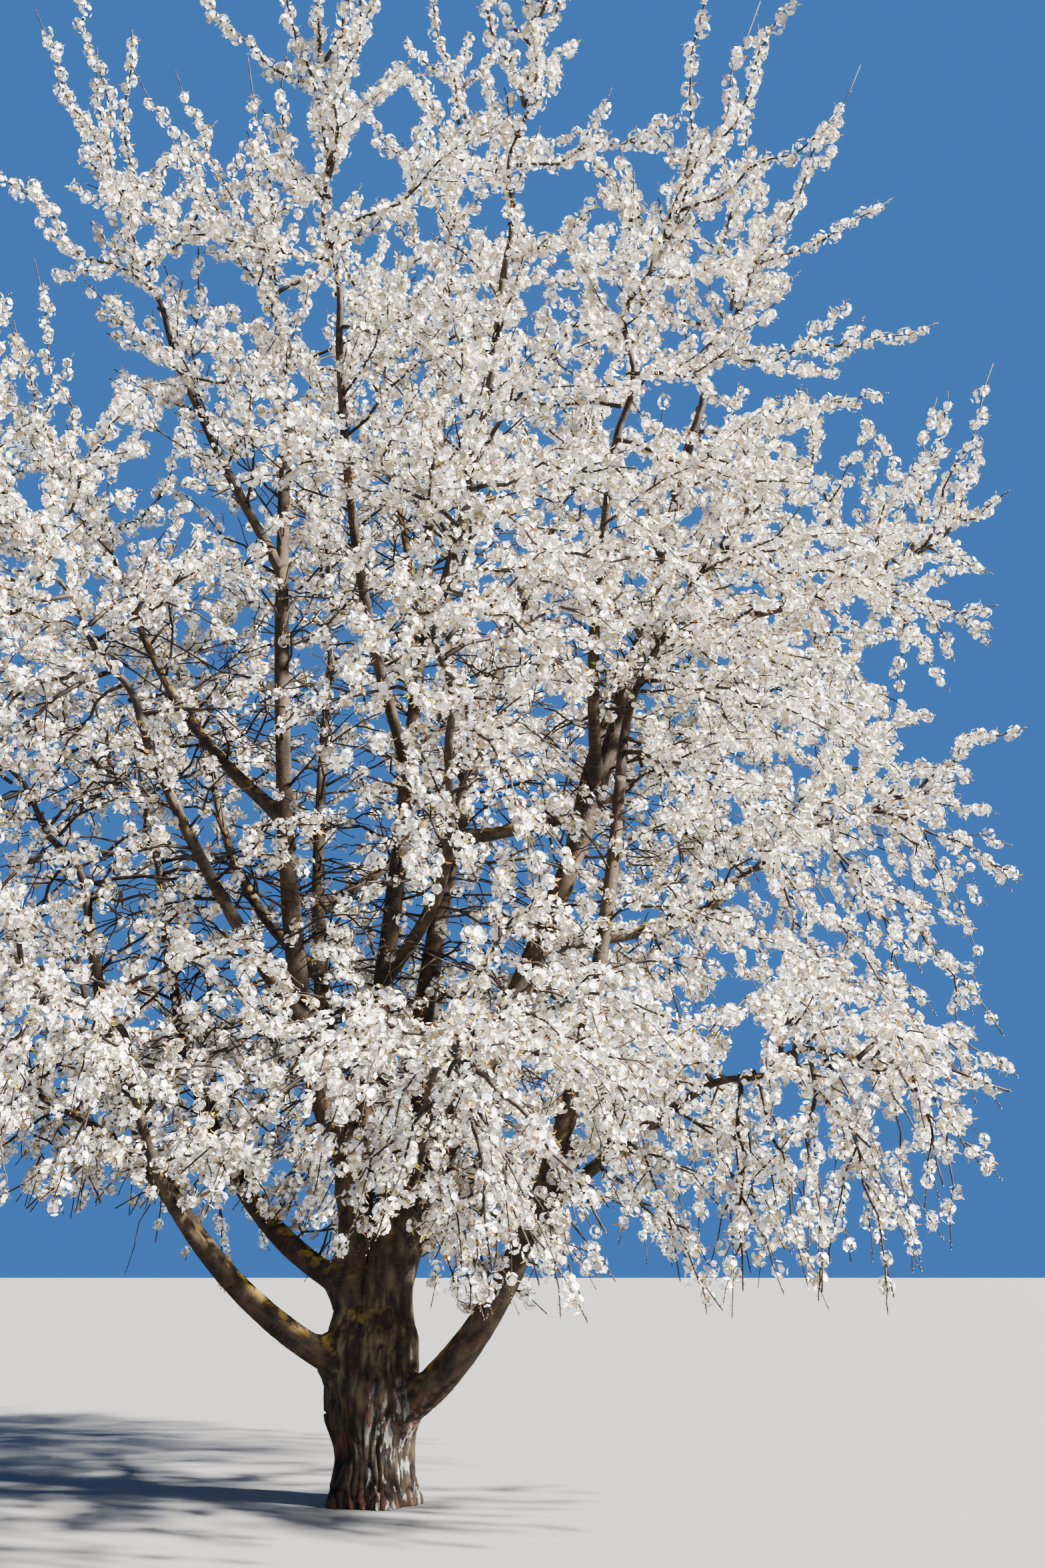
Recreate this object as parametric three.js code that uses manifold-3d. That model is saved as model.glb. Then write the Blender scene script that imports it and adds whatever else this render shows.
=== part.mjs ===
// A large sweet cherry in full white blossom: a short trunk that parts into two stems, ten leading
// limbs, eighteen side boughs, and a mass of blossoming shoots on the tip of every limb.
// Millimetres, +Z up, +X to the right and +Y to the back of the tree as it is seen from the front.
// The origin is the middle of the flat cut under the trunk, at ground level.
import * as THREE from "three";
import { mergeVertices } from "three/addons/utils/BufferGeometryUtils.js";
import Module from "manifold-3d";

const wasm = await Module();
wasm.setup();

// Clearance left wherever two pieces meet.
const SEAM = 0.3;

// Trunk: half widths at the waist and at the fork, and the flare of its root buttresses.
const TRUNK_HEIGHT = 980;
const TRUNK_WAIST = { width: 262, depth: 240 };
const TRUNK_FORK = { width: 264, depth: 180 };
const TRUNK_LEAN = -38;
const ROOT_FLARE = 62;
const ROOT_FLARE_HEIGHT = 170;
const BUTTRESSES = 5;
const BUTTRESS_DEPTH = 0.5;
const BUTTRESS_TURN = 0.6;
const TRUNK_STRAIGHT = 0.45;
const TRUNK_SIDES = 18;
const TRUNK_RINGS = 7;

// Crown: the egg that the furthest shoots reach, cut off level above the ground.
const CROWN = { halfWidth: 5150, halfDepth: 4250, middle: 5300, halfHeight: 7000, floor: 1250 };

// The two stems above the fork: foot and top as x, y, z, then the radii at both ends.
const STEMS = [
  { name: "left_stem", foot: [-182, 15, 880], top: [-190, 30, 2250], butt: 114, tip: 102 },
  { name: "right_stem", foot: [58, -10, 880], top: [112, -20, 1830], butt: 162, tip: 134 },
];
const STEM_SIDES = 10;
const STEM_STEPS = 3;

// Leading limbs and side boughs. Each row says where the limb starts, as a fraction along the limb
// that carries it, then where its tip is, as azimuth in degrees (0 right, 90 back), distance from
// the tree's axis and height. The radii at butt and tip follow, then how far it bows outwards
// before it rises and how far it swings sideways.
const LIMBS = [
  limb("left_low_bough", "trunk", 0.74, [189, 2100, 3750], [96, 38], 0.56, 40),
  limb("right_low_bough", "trunk", 0.46, [335, 1820, 4700], [124, 40], 0.68, -60),
  limb("centre_leader", "left_stem", 0.95, [29, 400, 9800], [88, 28], 0.4, 90),
  limb("left_leader", "left_stem", 0.93, [210, 980, 7300], [98, 44], 0.8, 20),
  limb("back_leader", "left_stem", 0.8, [115, 1750, 6300], [84, 36], 0.3, 120),
  limb("left_mid_bough", "left_stem", 0.32, [154, 2100, 4250], [88, 34], 0.62, -60),
  limb("right_leader", "right_stem", 0.85, [348, 2280, 7400], [120, 38], 0.24, 70),
  limb("back_right_leader", "right_stem", 0.94, [50, 1800, 7500], [94, 36], -0.2, 110),
  limb("back_low_bough", "right_stem", 0.6, [62, 1900, 3100], [78, 36], 0.3, -90),
  limb("front_bough", "right_stem", 0.9, [286, 1500, 2550], [58, 32], -0.3, 70),

  limb("left_low_side", "left_low_bough", 0.5, [176, 2350, 2550], [46, 28], -0.3, 60),
  limb("left_low_front", "left_low_bough", 0.34, [226, 2000, 2500], [50, 29], 0.2, -70),
  limb("left_mid_back", "left_mid_bough", 0.35, [136, 2050, 2750], [48, 29], 0.2, 60),
  limb("right_low_side", "right_low_bough", 0.46, [331, 2250, 2450], [50, 29], -0.2, 60),
  limb("right_arching_bough", "right_leader", 0.4, [6, 2500, 4100], [56, 30], 0.5, -90),
  limb("back_low_side", "back_leader", 0.3, [101, 2050, 3350], [50, 30], 0.3, 60),
  limb("right_long_bough", "right_leader", 0.52, [4, 2800, 6350], [54, 30], -0.7, 80),
  limb("back_right_mid", "back_right_leader", 0.45, [38, 2350, 5300], [54, 30], 0.3, -80),
  limb("back_mid", "back_leader", 0.58, [84, 2150, 5400], [50, 30], 0.2, -70),
  limb("back_left_mid", "back_leader", 0.45, [137, 2300, 5400], [52, 30], 0.3, 80),
  limb("left_front_mid", "left_leader", 0.36, [226, 2100, 4700], [54, 30], 0.3, 90),
  limb("front_mid", "centre_leader", 0.24, [287, 1700, 4550], [52, 30], 0.25, 160),
  limb("right_front_high", "right_leader", 0.6, [316, 2200, 6700], [48, 29], 0.2, -80),
  limb("left_high", "left_leader", 0.64, [170, 2200, 6500], [50, 29], 0.2, 70),
  limb("left_fork", "left_leader", 0.9, [193, 1850, 8400], [40, 27], 0.1, 60),
  limb("front_left_high", "centre_leader", 0.48, [258, 1550, 7600], [46, 28], 0.2, -70),
  limb("front_high", "centre_leader", 0.6, [306, 1400, 8500], [42, 27], 0.2, 60),
  limb("back_high", "centre_leader", 0.62, [102, 1350, 8700], [42, 27], 0.2, -60),
];
const LEADERS = 10;
const LEADER_SIDES = 7;
const LEADER_STEPS = 6;
const BOUGH_SIDES = 5;
const BOUGH_STEPS = 4;
const LENGTHS_PER_LIMB = 14;

// Blossom: the stem of a mass, which runs on from its bough and turns away from the crown's heart,
// and the shoots that leave it, spread wide at its foot and narrow at its end. A stem stops SKIN
// short of the crown's egg. STEM_BARE and SHOOT_BARE are the shares at the foot without blossom.
const STEM_REACH = { least: 900, most: 2300, step: 50 };
const SKIN = 0.03;
const STEM_BARE = 0.35;
const STEM_THINNING = 0.8;
const HEART_HEIGHT = 3600;
const SHOOTS_PER_MASS = 9;
const GOLDEN_ANGLE = 137.5;
const TURN_CHANCE = 60;
const SHOOT_PLACES = { first: 0.08, last: 0.84 };
const SHOOT_SPREAD = { first: 108, last: 36 };
const SHOOT_LENGTH = 1750;
const SHOOT_SHORTENING = 0.4;
const SHOOT_BARE = 0.14;
const SHOOT_RADIUS = { root: 30, twig: 20, tip: 10 };
const SHORTER_TRIES = [1, 0.8, 0.62, 0.45];

// Shoots of a mass at LEVEL_HEIGHT run level. Higher ones lift towards the light and lower ones hang.
const LEVEL_HEIGHT = 4400;
const LIFT_HEIGHT = 9000;
const MOST_LIFT = 0.3;
const MOST_DROOP = -0.22;

// Sprays of blossom are lumps strung along stem and shoots. SHORT_FOOT is the bare share of a shoot
// below which its first lump starts at the stem.
const SPRAY_LENGTH = 540;
const SPRAY_RADIUS = 240;
const SPRAY_OFFSET = 0.45;
const SPRAY_CROWDING = 0.84;
const SPRAY_SLOPE = 0.6;
const SHORT_FOOT = 0.2;

// Seeds: the step from one mass to the next, and what is added for each thing that chance decides.
const MASS_SEED = 31;
const SEEDS = { spraySize: 7, shootTurn: 20, shootLength: 40 };

// Clearances of blossom to its space and to the wood, and the finest detail kept in a mass.
const SPACE_MARGIN = 12;
const LIMB_MARGIN = 25;
const WELD = 10;

const bark = new THREE.MeshStandardMaterial({ color: 0x5b4a40, roughness: 0.92, metalness: 0 });
const youngBark = new THREE.MeshStandardMaterial({ color: 0x6e6052, roughness: 0.88, metalness: 0 });
const blossom = new THREE.MeshStandardMaterial({ color: 0xf6f3ee, roughness: 0.8, metalness: 0 });

// One row of the table above with its values named.
function limb(name, parent, along, [azimuth, distance, height], [butt, tip], bow, swing) {
  return { name, parent, along, azimuth, distance, height, butt, tip, bow, swing };
}

// A number from 0 to 1 that always comes out the same for the same pair of whole numbers.
function chance(a, b) {
  const spread = Math.sin(a * 127.1 + b * 311.7) * 43758.5453;
  return spread - Math.floor(spread);
}

// A size factor between 0.8 and 1.2 from the same chance.
function varied(a, b) {
  return 0.8 + 0.4 * chance(a, b);
}

// A point given by its azimuth in degrees, its distance from the tree's axis and its height.
function polar(azimuth, distance, height) {
  const turn = THREE.MathUtils.degToRad(azimuth);
  return new THREE.Vector3(distance * Math.cos(turn), distance * Math.sin(turn), height);
}

// The middle line of a limb. It gains distance early and height late by the same bow, and swings
// out sideways and back again on the way.
function bowedPath(foot, tip, bow = 0, swing = 0) {
  const out = new THREE.Vector3(tip.x - foot.x, tip.y - foot.y, 0);
  const rise = tip.z - foot.z;
  const side = new THREE.Vector3(-out.y, out.x, 0).normalize();
  return (t) => {
    const bend = bow * t * (1 - t);
    return foot.clone()
      .addScaledVector(out, t + bend)
      .addScaledVector(side, swing * Math.sin(Math.PI * t))
      .add(new THREE.Vector3(0, 0, rise * (t - bend)));
  };
}

// The unit direction of a path at t.
function heading(path, t) {
  const step = 1e-3;
  return path(t + step).sub(path(t - step)).normalize();
}

// Any unit vector square to a direction.
function squareTo(direction) {
  const reference = Math.abs(direction.z) < 0.9 ? new THREE.Vector3(0, 0, 1) : new THREE.Vector3(1, 0, 0);
  return new THREE.Vector3().crossVectors(reference, direction).normalize();
}

// Turns a three.js geometry into a solid whose shared vertices are merged.
function solidOf(geometry) {
  geometry.deleteAttribute("normal");
  geometry.deleteAttribute("uv");
  const merged = mergeVertices(geometry, 1e-3);
  return new wasm.Manifold(new wasm.Mesh({
    numProp: 3,
    vertProperties: new Float32Array(merged.attributes.position.array),
    triVerts: new Uint32Array(merged.index.array),
  }));
}

// A closed bar through a row of rings, each with its centre, direction and radius: a cylinder whose
// own rings of vertices are set square to the row, with no twist between one and the next.
function barThrough(rings, sides) {
  const steps = rings.length - 1;
  const geometry = new THREE.CylinderGeometry(1, 1, 1, sides, steps);
  let across = squareTo(rings[0].forward);
  const frames = rings.map(({ centre, forward, radius }) => {
    across = across.clone().addScaledVector(forward, -across.dot(forward)).normalize();
    return { centre, radius, across, third: across.clone().cross(forward) };
  });
  const place = geometry.attributes.position;
  for (let i = 0; i < place.count; i++) {
    const frame = frames[Math.round((place.getY(i) + 0.5) * steps)];
    const point = frame.centre.clone()
      .addScaledVector(frame.across, place.getX(i) * frame.radius)
      .addScaledVector(frame.third, place.getZ(i) * frame.radius);
    place.setXYZ(i, point.x, point.y, point.z);
  }
  return solidOf(geometry);
}

// A tapering bar along a path. Fatness is added all round and at both ends.
function taperedBar(path, buttRadius, tipRadius, sides, steps, fatness = 0) {
  const rings = [];
  for (let ring = 0; ring <= steps; ring++) {
    const t = ring / steps;
    const forward = heading(path, t);
    const outOfEnd = ring === 0 ? -fatness : ring === steps ? fatness : 0;
    const centre = path(t).addScaledVector(forward, outOfEnd);
    rings.push({ centre, forward, radius: THREE.MathUtils.lerp(buttRadius, tipRadius, t) + fatness });
  }
  return barThrough(rings, sides);
}

// The trunk: an oval cylinder that spreads into root buttresses at the ground and flattens towards
// the fork. Each vertex keeps its height and its bearing and only its radius changes.
function trunkSolid(fatness = 0) {
  const geometry = new THREE.CylinderGeometry(1, 1, TRUNK_HEIGHT + fatness, TRUNK_SIDES, TRUNK_RINGS);
  geometry.rotateX(Math.PI / 2);
  geometry.translate(0, 0, (TRUNK_HEIGHT + fatness) / 2);
  const place = geometry.attributes.position;
  for (let i = 0; i < place.count; i++) {
    const height = place.getZ(i);
    const bearing = Math.atan2(place.getY(i), place.getX(i));
    const climb = THREE.MathUtils.smoothstep(height, TRUNK_STRAIGHT * TRUNK_HEIGHT, TRUNK_HEIGHT);
    const flare = ROOT_FLARE * Math.exp(-height / ROOT_FLARE_HEIGHT);
    const buttress = 1 + BUTTRESS_DEPTH * Math.cos(BUTTRESSES * bearing + BUTTRESS_TURN);
    const grown = flare * buttress + fatness;
    const halfWidth = THREE.MathUtils.lerp(TRUNK_WAIST.width, TRUNK_FORK.width, climb) + grown;
    const halfDepth = THREE.MathUtils.lerp(TRUNK_WAIST.depth, TRUNK_FORK.depth, climb) + grown;
    place.setX(i, place.getX(i) * halfWidth + TRUNK_LEAN * climb);
    place.setY(i, place.getY(i) * halfDepth);
  }
  return solidOf(geometry);
}

// The largest body of a solid. Loose scraps are dropped, and so are the walls of sealed hollows.
function largestBody(solid) {
  const bodies = solid.decompose();
  bodies.sort((a, b) => b.volume() - a.volume());
  return bodies[0];
}

// A solid with the seam's clearance cut round every thicker limb that it meets.
function cutClear(solid, neighbours) {
  let cut = solid;
  for (const neighbour of neighbours) {
    if (cut.minGap(neighbour, 1) === 0) cut = cut.subtract(neighbour);
  }
  return largestBody(cut);
}

const tree = new THREE.Group();

// Adds a solid to the tree as a mesh whose own origin is at the place that it grows from.
function addPiece(name, solid, origin, material) {
  const { vertProperties, triVerts } = solid.translate([-origin.x, -origin.y, -origin.z]).getMesh();
  const geometry = new THREE.BufferGeometry();
  geometry.setAttribute("position", new THREE.BufferAttribute(new Float32Array(vertProperties), 3));
  geometry.setIndex(new THREE.BufferAttribute(new Uint32Array(triVerts), 1));
  const mesh = new THREE.Mesh(geometry, material);
  mesh.name = name;
  mesh.position.copy(origin);
  tree.add(mesh);
}

// Trunk, stems, leading limbs and side boughs, each cut clear of those that came before it.
const paths = new Map([["trunk", (t) => new THREE.Vector3(0, 0, TRUNK_HEIGHT * t)]]);
const fattened = [trunkSolid(SEAM)];
const axes = [];
addPiece("trunk", trunkSolid(), new THREE.Vector3(0, 0, 0), bark);

function addLimb(name, path, butt, tip, sides, steps, material) {
  const solid = taperedBar(path, butt, tip, sides, steps);
  addPiece(name, cutClear(solid, fattened), path(0), material);
  fattened.push(taperedBar(path, butt, tip, sides, steps, SEAM));
  paths.set(name, path);
  axes.push({ path, butt, tip });
}

for (const { name, foot, top, butt, tip } of STEMS) {
  const path = bowedPath(new THREE.Vector3(...foot), new THREE.Vector3(...top));
  addLimb(name, path, butt, tip, STEM_SIDES, STEM_STEPS, bark);
}
LIMBS.forEach((row, index) => {
  const foot = paths.get(row.parent)(row.along);
  const path = bowedPath(foot, polar(row.azimuth, row.distance, row.height), row.bow, row.swing);
  const isLeader = index < LEADERS;
  const sides = isLeader ? LEADER_SIDES : BOUGH_SIDES;
  const steps = isLeader ? LEADER_STEPS : BOUGH_STEPS;
  addLimb(row.name, path, row.butt, row.tip, sides, steps, isLeader ? bark : youngBark);
});

// Every limb as short straight lengths with their radii, for keeping blossom off the wood.
const wood = axes.flatMap(({ path, butt, tip }) => {
  const lengths = [];
  for (let i = 0; i < LENGTHS_PER_LIMB; i++) {
    const from = i / LENGTHS_PER_LIMB;
    const to = (i + 1) / LENGTHS_PER_LIMB;
    const line = new THREE.Line3(path(from), path(to));
    lengths.push({ line, radius: THREE.MathUtils.lerp(butt, tip, from) });
  }
  return lengths;
});

// How far a point lies inside the crown's egg, as a share of its radius there: 0 on its skin.
function depthInCrown(point) {
  const across = Math.hypot(point.x / CROWN.halfWidth, point.y / CROWN.halfDepth);
  return 1 - Math.hypot(across, (point.z - CROWN.middle) / CROWN.halfHeight);
}

// Where a mass's stem runs: on from its bough, turned outwards, as far as the crown's skin.
const masses = LIMBS.map((row, index) => {
  const path = paths.get(row.name);
  const tip = path(1);
  const onward = heading(path, 1);
  const outward = tip.clone().sub(new THREE.Vector3(0, 0, HEART_HEIGHT)).normalize();
  const aim = onward.clone().add(outward).normalize();
  let reach = STEM_REACH.least;
  while (reach < STEM_REACH.most && depthInCrown(tip.clone().addScaledVector(aim, reach)) > SKIN) {
    reach += STEM_REACH.step;
  }
  const centre = tip.clone().addScaledVector(aim, 0.5 * reach);
  return { index, name: `${row.name}_blossom`, row, tip, onward, aim, reach, centre };
});

// Whether a ball round a point keeps to a mass's own space: nearer to that mass's middle than to
// any other, inside the crown, and off the ground.
function inOwnSpace(point, radius, mass) {
  if (point.z - radius < CROWN.floor) return false;
  if (depthInCrown(point) < 0) return false;
  const own = point.distanceToSquared(mass.centre);
  return masses.every((other) => {
    if (other === mass) return true;
    const between = 2 * other.centre.distanceTo(mass.centre);
    return (point.distanceToSquared(other.centre) - own) / between > radius + SPACE_MARGIN;
  });
}

// Whether a ball round a point touches no limb.
function clearOfWood(point, radius) {
  const nearest = new THREE.Vector3();
  return wood.every(({ line, radius: thickness }) => {
    line.closestPointToPoint(point, true, nearest);
    return nearest.distanceTo(point) > radius + thickness + LIMB_MARGIN;
  });
}

function fits(point, radius, mass) {
  return inOwnSpace(point, radius, mass) && clearOfWood(point, radius);
}

// A shoot's middle line: straight, but lifting towards the light high up and hanging low down.
function shootPath(root, direction, length, lift) {
  return (t) => root.clone()
    .addScaledVector(direction, length * t)
    .add(new THREE.Vector3(0, 0, lift * length * t * t));
}

// Whether a shoot's line keeps clear, past the part of it that lies in its stem.
function pathFits(path, mass) {
  for (let t = 0.2; t < 1.01; t += 0.1) {
    if (!fits(path(t), SHOOT_RADIUS.twig, mass)) return false;
  }
  return true;
}

// Whether a lump of blossom fits: its middle, and the slopes down to the twig on both sides of it.
function lumpFits({ start, middle, end, radius }, mass, lumps) {
  const isCrowded = lumps.some((other) => {
    return other.middle.distanceTo(middle) < SPRAY_CROWDING * (other.radius + radius);
  });
  if (isCrowded) return false;
  const slopes = [start, end].map((point) => middle.clone().lerp(point, 0.5));
  return fits(middle, radius, mass) && slopes.every((point) => fits(point, SPRAY_SLOPE * radius, mass));
}

// A shoot or stem with its sprays: a bar that swells into a lump of blossom and narrows again, over
// and over, each lump standing off to one side by the golden angle. A lump that would leave its
// space, touch a limb or crowd another lump is left out, and the twig runs on bare.
function blossomingBar(path, rootForward, length, bareShare, radii, mass, seed, lumps) {
  const count = Math.max(1, Math.round((length * (1 - bareShare)) / SPRAY_LENGTH));
  const rings = [{ centre: path(0), forward: rootForward, radius: radii.root }];
  let lastWaist = bareShare < SHORT_FOOT ? bareShare : 0;
  const addWaist = (t) => {
    if (t <= lastWaist + 1e-6) return;
    rings.push({ centre: path(t), forward: heading(path, t), radius: radii.twig });
    lastWaist = t;
  };
  for (let k = 0; k < count; k++) {
    const from = THREE.MathUtils.lerp(bareShare, 1, k / count);
    const to = THREE.MathUtils.lerp(bareShare, 1, (k + 1) / count);
    const forward = heading(path, (from + to) / 2);
    const turn = GOLDEN_ANGLE * k + 360 * chance(seed, k);
    const across = squareTo(forward).applyAxisAngle(forward, THREE.MathUtils.degToRad(turn));
    const radius = SPRAY_RADIUS * varied(seed + SEEDS.spraySize, k);
    const middle = path((from + to) / 2).addScaledVector(across, SPRAY_OFFSET * radius);
    const lump = { start: path(from), middle, end: path(to), radius };
    if (!lumpFits(lump, mass, lumps)) continue;
    lumps.push(lump);
    addWaist(from);
    rings.push({ centre: middle, forward, radius });
    if (k < count - 1) addWaist(to);
  }
  rings.push({ centre: path(1), forward: heading(path, 1), radius: radii.tip });
  return barThrough(rings, 4);
}

// The middle line of a mass's stem: it leaves the bough's tip straight on and turns outwards.
function stemOf({ tip, onward, aim, reach }) {
  const start = tip.clone().addScaledVector(onward, SEAM);
  return (t) => {
    const early = t * (1 - t) * reach;
    return start.clone().addScaledVector(onward, early).addScaledVector(aim, reach * t - early);
  };
}

// The middle lines of a mass's shoots. They leave the stem by the golden angle, wide at its foot
// and narrow at its end, and one that doesn't fit at its full length is tried shorter.
function shootsOf(mass, stemPath, seed) {
  const wanted = (mass.row.height - LEVEL_HEIGHT) / LIFT_HEIGHT;
  const lift = THREE.MathUtils.clamp(wanted, MOST_DROOP, MOST_LIFT);
  const shoots = [];
  for (let k = 0; k < SHOOTS_PER_MASS; k++) {
    const t = THREE.MathUtils.lerp(SHOOT_PLACES.first, SHOOT_PLACES.last, k / (SHOOTS_PER_MASS - 1));
    const forward = heading(stemPath, t);
    const turn = GOLDEN_ANGLE * k + TURN_CHANCE * chance(seed, k + SEEDS.shootTurn);
    const across = squareTo(forward).applyAxisAngle(forward, THREE.MathUtils.degToRad(turn));
    const angle = THREE.MathUtils.lerp(SHOOT_SPREAD.first, SHOOT_SPREAD.last, t);
    const spread = THREE.MathUtils.degToRad(angle);
    const direction = forward.multiplyScalar(Math.cos(spread)).addScaledVector(across, Math.sin(spread));
    const wished = SHOOT_LENGTH * (1 - SHOOT_SHORTENING * t) * varied(seed, k + SEEDS.shootLength);
    for (const share of SHORTER_TRIES) {
      const length = wished * share;
      const path = shootPath(stemPath(t), direction, length, lift);
      if (pathFits(path, mass)) {
        shoots.push({ path, length, seed: seed + k + 1 });
        break;
      }
    }
  }
  return shoots;
}

// A mass of blossom: its stem and shoots with their lumps, as one solid.
function massSolid(mass) {
  const { onward, reach, row, index } = mass;
  const seed = MASS_SEED * (index + 1);
  const stemPath = stemOf(mass);
  const stemRadii = { root: row.tip, twig: STEM_THINNING * row.tip, tip: SHOOT_RADIUS.tip };
  const lumps = [];
  const bars = [blossomingBar(stemPath, onward, reach, STEM_BARE, stemRadii, mass, seed, lumps)];
  for (const { path, length, seed: own } of shootsOf(mass, stemPath, seed)) {
    bars.push(blossomingBar(path, heading(path, 0), length, SHOOT_BARE, SHOOT_RADIUS, mass, own, lumps));
  }
  return largestBody(wasm.Manifold.union(bars).simplify(WELD));
}

for (const mass of masses) {
  addPiece(mass.name, massSolid(mass), mass.tip, blossom);
}

export default tree;
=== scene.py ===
import bpy
import numpy as np
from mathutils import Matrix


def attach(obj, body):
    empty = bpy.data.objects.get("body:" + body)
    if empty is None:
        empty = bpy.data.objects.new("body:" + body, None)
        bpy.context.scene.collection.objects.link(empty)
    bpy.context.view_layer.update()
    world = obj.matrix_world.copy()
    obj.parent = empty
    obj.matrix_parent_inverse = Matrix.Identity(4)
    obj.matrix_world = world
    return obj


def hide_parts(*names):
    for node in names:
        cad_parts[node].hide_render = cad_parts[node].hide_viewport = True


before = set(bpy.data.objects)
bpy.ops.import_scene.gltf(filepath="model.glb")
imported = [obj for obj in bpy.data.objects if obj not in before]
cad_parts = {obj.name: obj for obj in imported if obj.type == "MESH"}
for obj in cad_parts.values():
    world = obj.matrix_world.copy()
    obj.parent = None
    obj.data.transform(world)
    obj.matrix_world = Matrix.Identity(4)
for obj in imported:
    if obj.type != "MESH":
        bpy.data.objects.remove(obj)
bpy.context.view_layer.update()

# The view: an observer of ordinary height stands a little to the right of the trunk, ten metres
# away, and looks up into the crown, so that the fork sits low in an upright frame.
EYE_PLACE = (0.97, -10.6, 1.55)
EYE_PITCH = 107.5
EYE_LENS = 34.13
EYE_SENSOR = 36

camera_data = bpy.data.cameras.new("eye")
camera_data.lens = EYE_LENS
camera_data.sensor_width = EYE_SENSOR
camera = bpy.data.objects.new("eye", camera_data)
camera.location = EYE_PLACE
camera.rotation_euler = (np.radians(EYE_PITCH), 0, 0)
bpy.context.collection.objects.link(camera)
bpy.context.scene.camera = camera

# The floor: one wide pale sheet, level with the flat cut under the trunk. It is only the studio's
# and no piece of the tree.
FLOOR_HALF = 90
FLOOR_COLOUR = (0.115, 0.115, 0.111)


def skin(name, points, faces, smooth=False, finish_of=None, attributes=()):
    """A mesh object from an array of points and an array of faces, all with as many corners each.
    finish_of holds the material's place for every face. An attribute is a name with its numbers."""
    mesh = bpy.data.meshes.new(name)
    count, corners = faces.shape
    mesh.vertices.add(len(points))
    mesh.vertices.foreach_set("co", np.asarray(points, np.float32).ravel())
    mesh.loops.add(count * corners)
    mesh.loops.foreach_set("vertex_index", np.asarray(faces, np.int32).ravel())
    mesh.polygons.add(count)
    mesh.polygons.foreach_set("loop_start", np.arange(0, count * corners, corners, dtype=np.int32))
    if finish_of is not None:
        mesh.polygons.foreach_set("material_index", np.asarray(finish_of, np.int32))
    mesh.update(calc_edges=True)
    mesh.shade_smooth() if smooth else mesh.shade_flat()
    for attribute, numbers in attributes:
        kind, member = ("FLOAT", "value") if numbers.ndim == 1 else ("FLOAT_VECTOR", "vector")
        layer = mesh.attributes.new(attribute, kind, "POINT")
        layer.data.foreach_set(member, np.asarray(numbers, np.float32).ravel())
    made = bpy.data.objects.new(name, mesh)
    bpy.context.collection.objects.link(made)
    return made


class Tone:
    """A value or colour inside a finish. Arithmetic on it adds Math nodes."""

    def __init__(self, finish, socket):
        self.finish = finish
        self.socket = socket

    def sum_of(self, operation, first, second):
        return self.finish.node("ShaderNodeMath", {0: first, 1: second}, operation=operation)

    def __add__(self, other):
        return self.sum_of("ADD", self, other)

    def __sub__(self, other):
        return self.sum_of("SUBTRACT", self, other)

    def __rsub__(self, other):
        return self.sum_of("SUBTRACT", other, self)

    def __mul__(self, other):
        return self.sum_of("MULTIPLY", self, other)

    __radd__ = __add__
    __rmul__ = __mul__


class Finish:
    """A named material with one Principled shader, and the one way in which nodes join it."""

    def __init__(self, name):
        self.material = bpy.data.materials.new(name)
        self.material.use_nodes = True
        self.tree = self.material.node_tree
        self.shader = self.tree.nodes["Principled BSDF"]

    def node(self, kind, inputs, output=0, stops=(), **settings):
        """Adds a node: its settings first, then a ramp's stops, then values or links on sockets."""
        made = self.tree.nodes.new(kind)
        for name, value in settings.items():
            setattr(made, name, value)
        if stops:
            ramp = made.color_ramp.elements
            ramp.remove(ramp[1])
            ramp[0].position = stops[0][0]
            ramp[0].color = (*stops[0][1], 1)
            for position, colour in stops[1:]:
                ramp.new(position).color = (*colour, 1)
        for name, value in inputs.items():
            self.plug(made.inputs[name], value)
        return Tone(self, made.outputs[output])

    def plug(self, socket, value):
        """Sets a socket, or links it where the value is a tone."""
        if isinstance(value, Tone):
            self.tree.links.new(value.socket, socket)
        else:
            socket.default_value = (*value, 1) if socket.type == "RGBA" and len(value) == 3 else value

    def wear(self, *pieces, **sockets):
        """Sets the shader's sockets, and puts the finish on the pieces."""
        for name, value in sockets.items():
            self.plug(self.shader.inputs[name.replace("_", " ")], value)
        for piece in pieces:
            piece.data.materials.append(self.material)


floor_corners = FLOOR_HALF * np.array([[-1, -1, 0], [1, -1, 0], [1, 1, 0], [-1, 1, 0]])
floor = skin("floor", floor_corners, np.array([[0, 1, 2, 3]]))
Finish("studio_floor").wear(floor, Base_Color=FLOOR_COLOUR, Roughness=0.9)

# The light: one broad soft lamp high at the right, a little in front of the tree, a faint wide one
# from the left, and an even blue room that fills the shade and stands behind the white blossom.
LAMPS = {
    "lamp": ((55, 0, 68), 64.0, 3, (1.0, 0.96, 0.905)),
    "fill": ((62, 0, -50), 0.25, 70, (0.95, 0.97, 1.0)),
}
ROOM_COLOUR = (0.050, 0.185, 0.56)
ROOM_STRENGTH = 1.0

for name, (turn, strength, width, tint) in LAMPS.items():
    lamp_data = bpy.data.lights.new(name, "SUN")
    lamp_data.energy = strength
    lamp_data.angle = np.radians(width)
    lamp_data.color = tint
    lamp = bpy.data.objects.new(name, lamp_data)
    lamp.rotation_euler = np.radians(turn)
    bpy.context.collection.objects.link(lamp)
room = bpy.data.worlds.new("room")
room.use_nodes = True
room.node_tree.nodes["Background"].inputs["Color"].default_value = (*ROOM_COLOUR, 1)
room.node_tree.nodes["Background"].inputs["Strength"].default_value = ROOM_STRENGTH
bpy.context.scene.world = room

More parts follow.
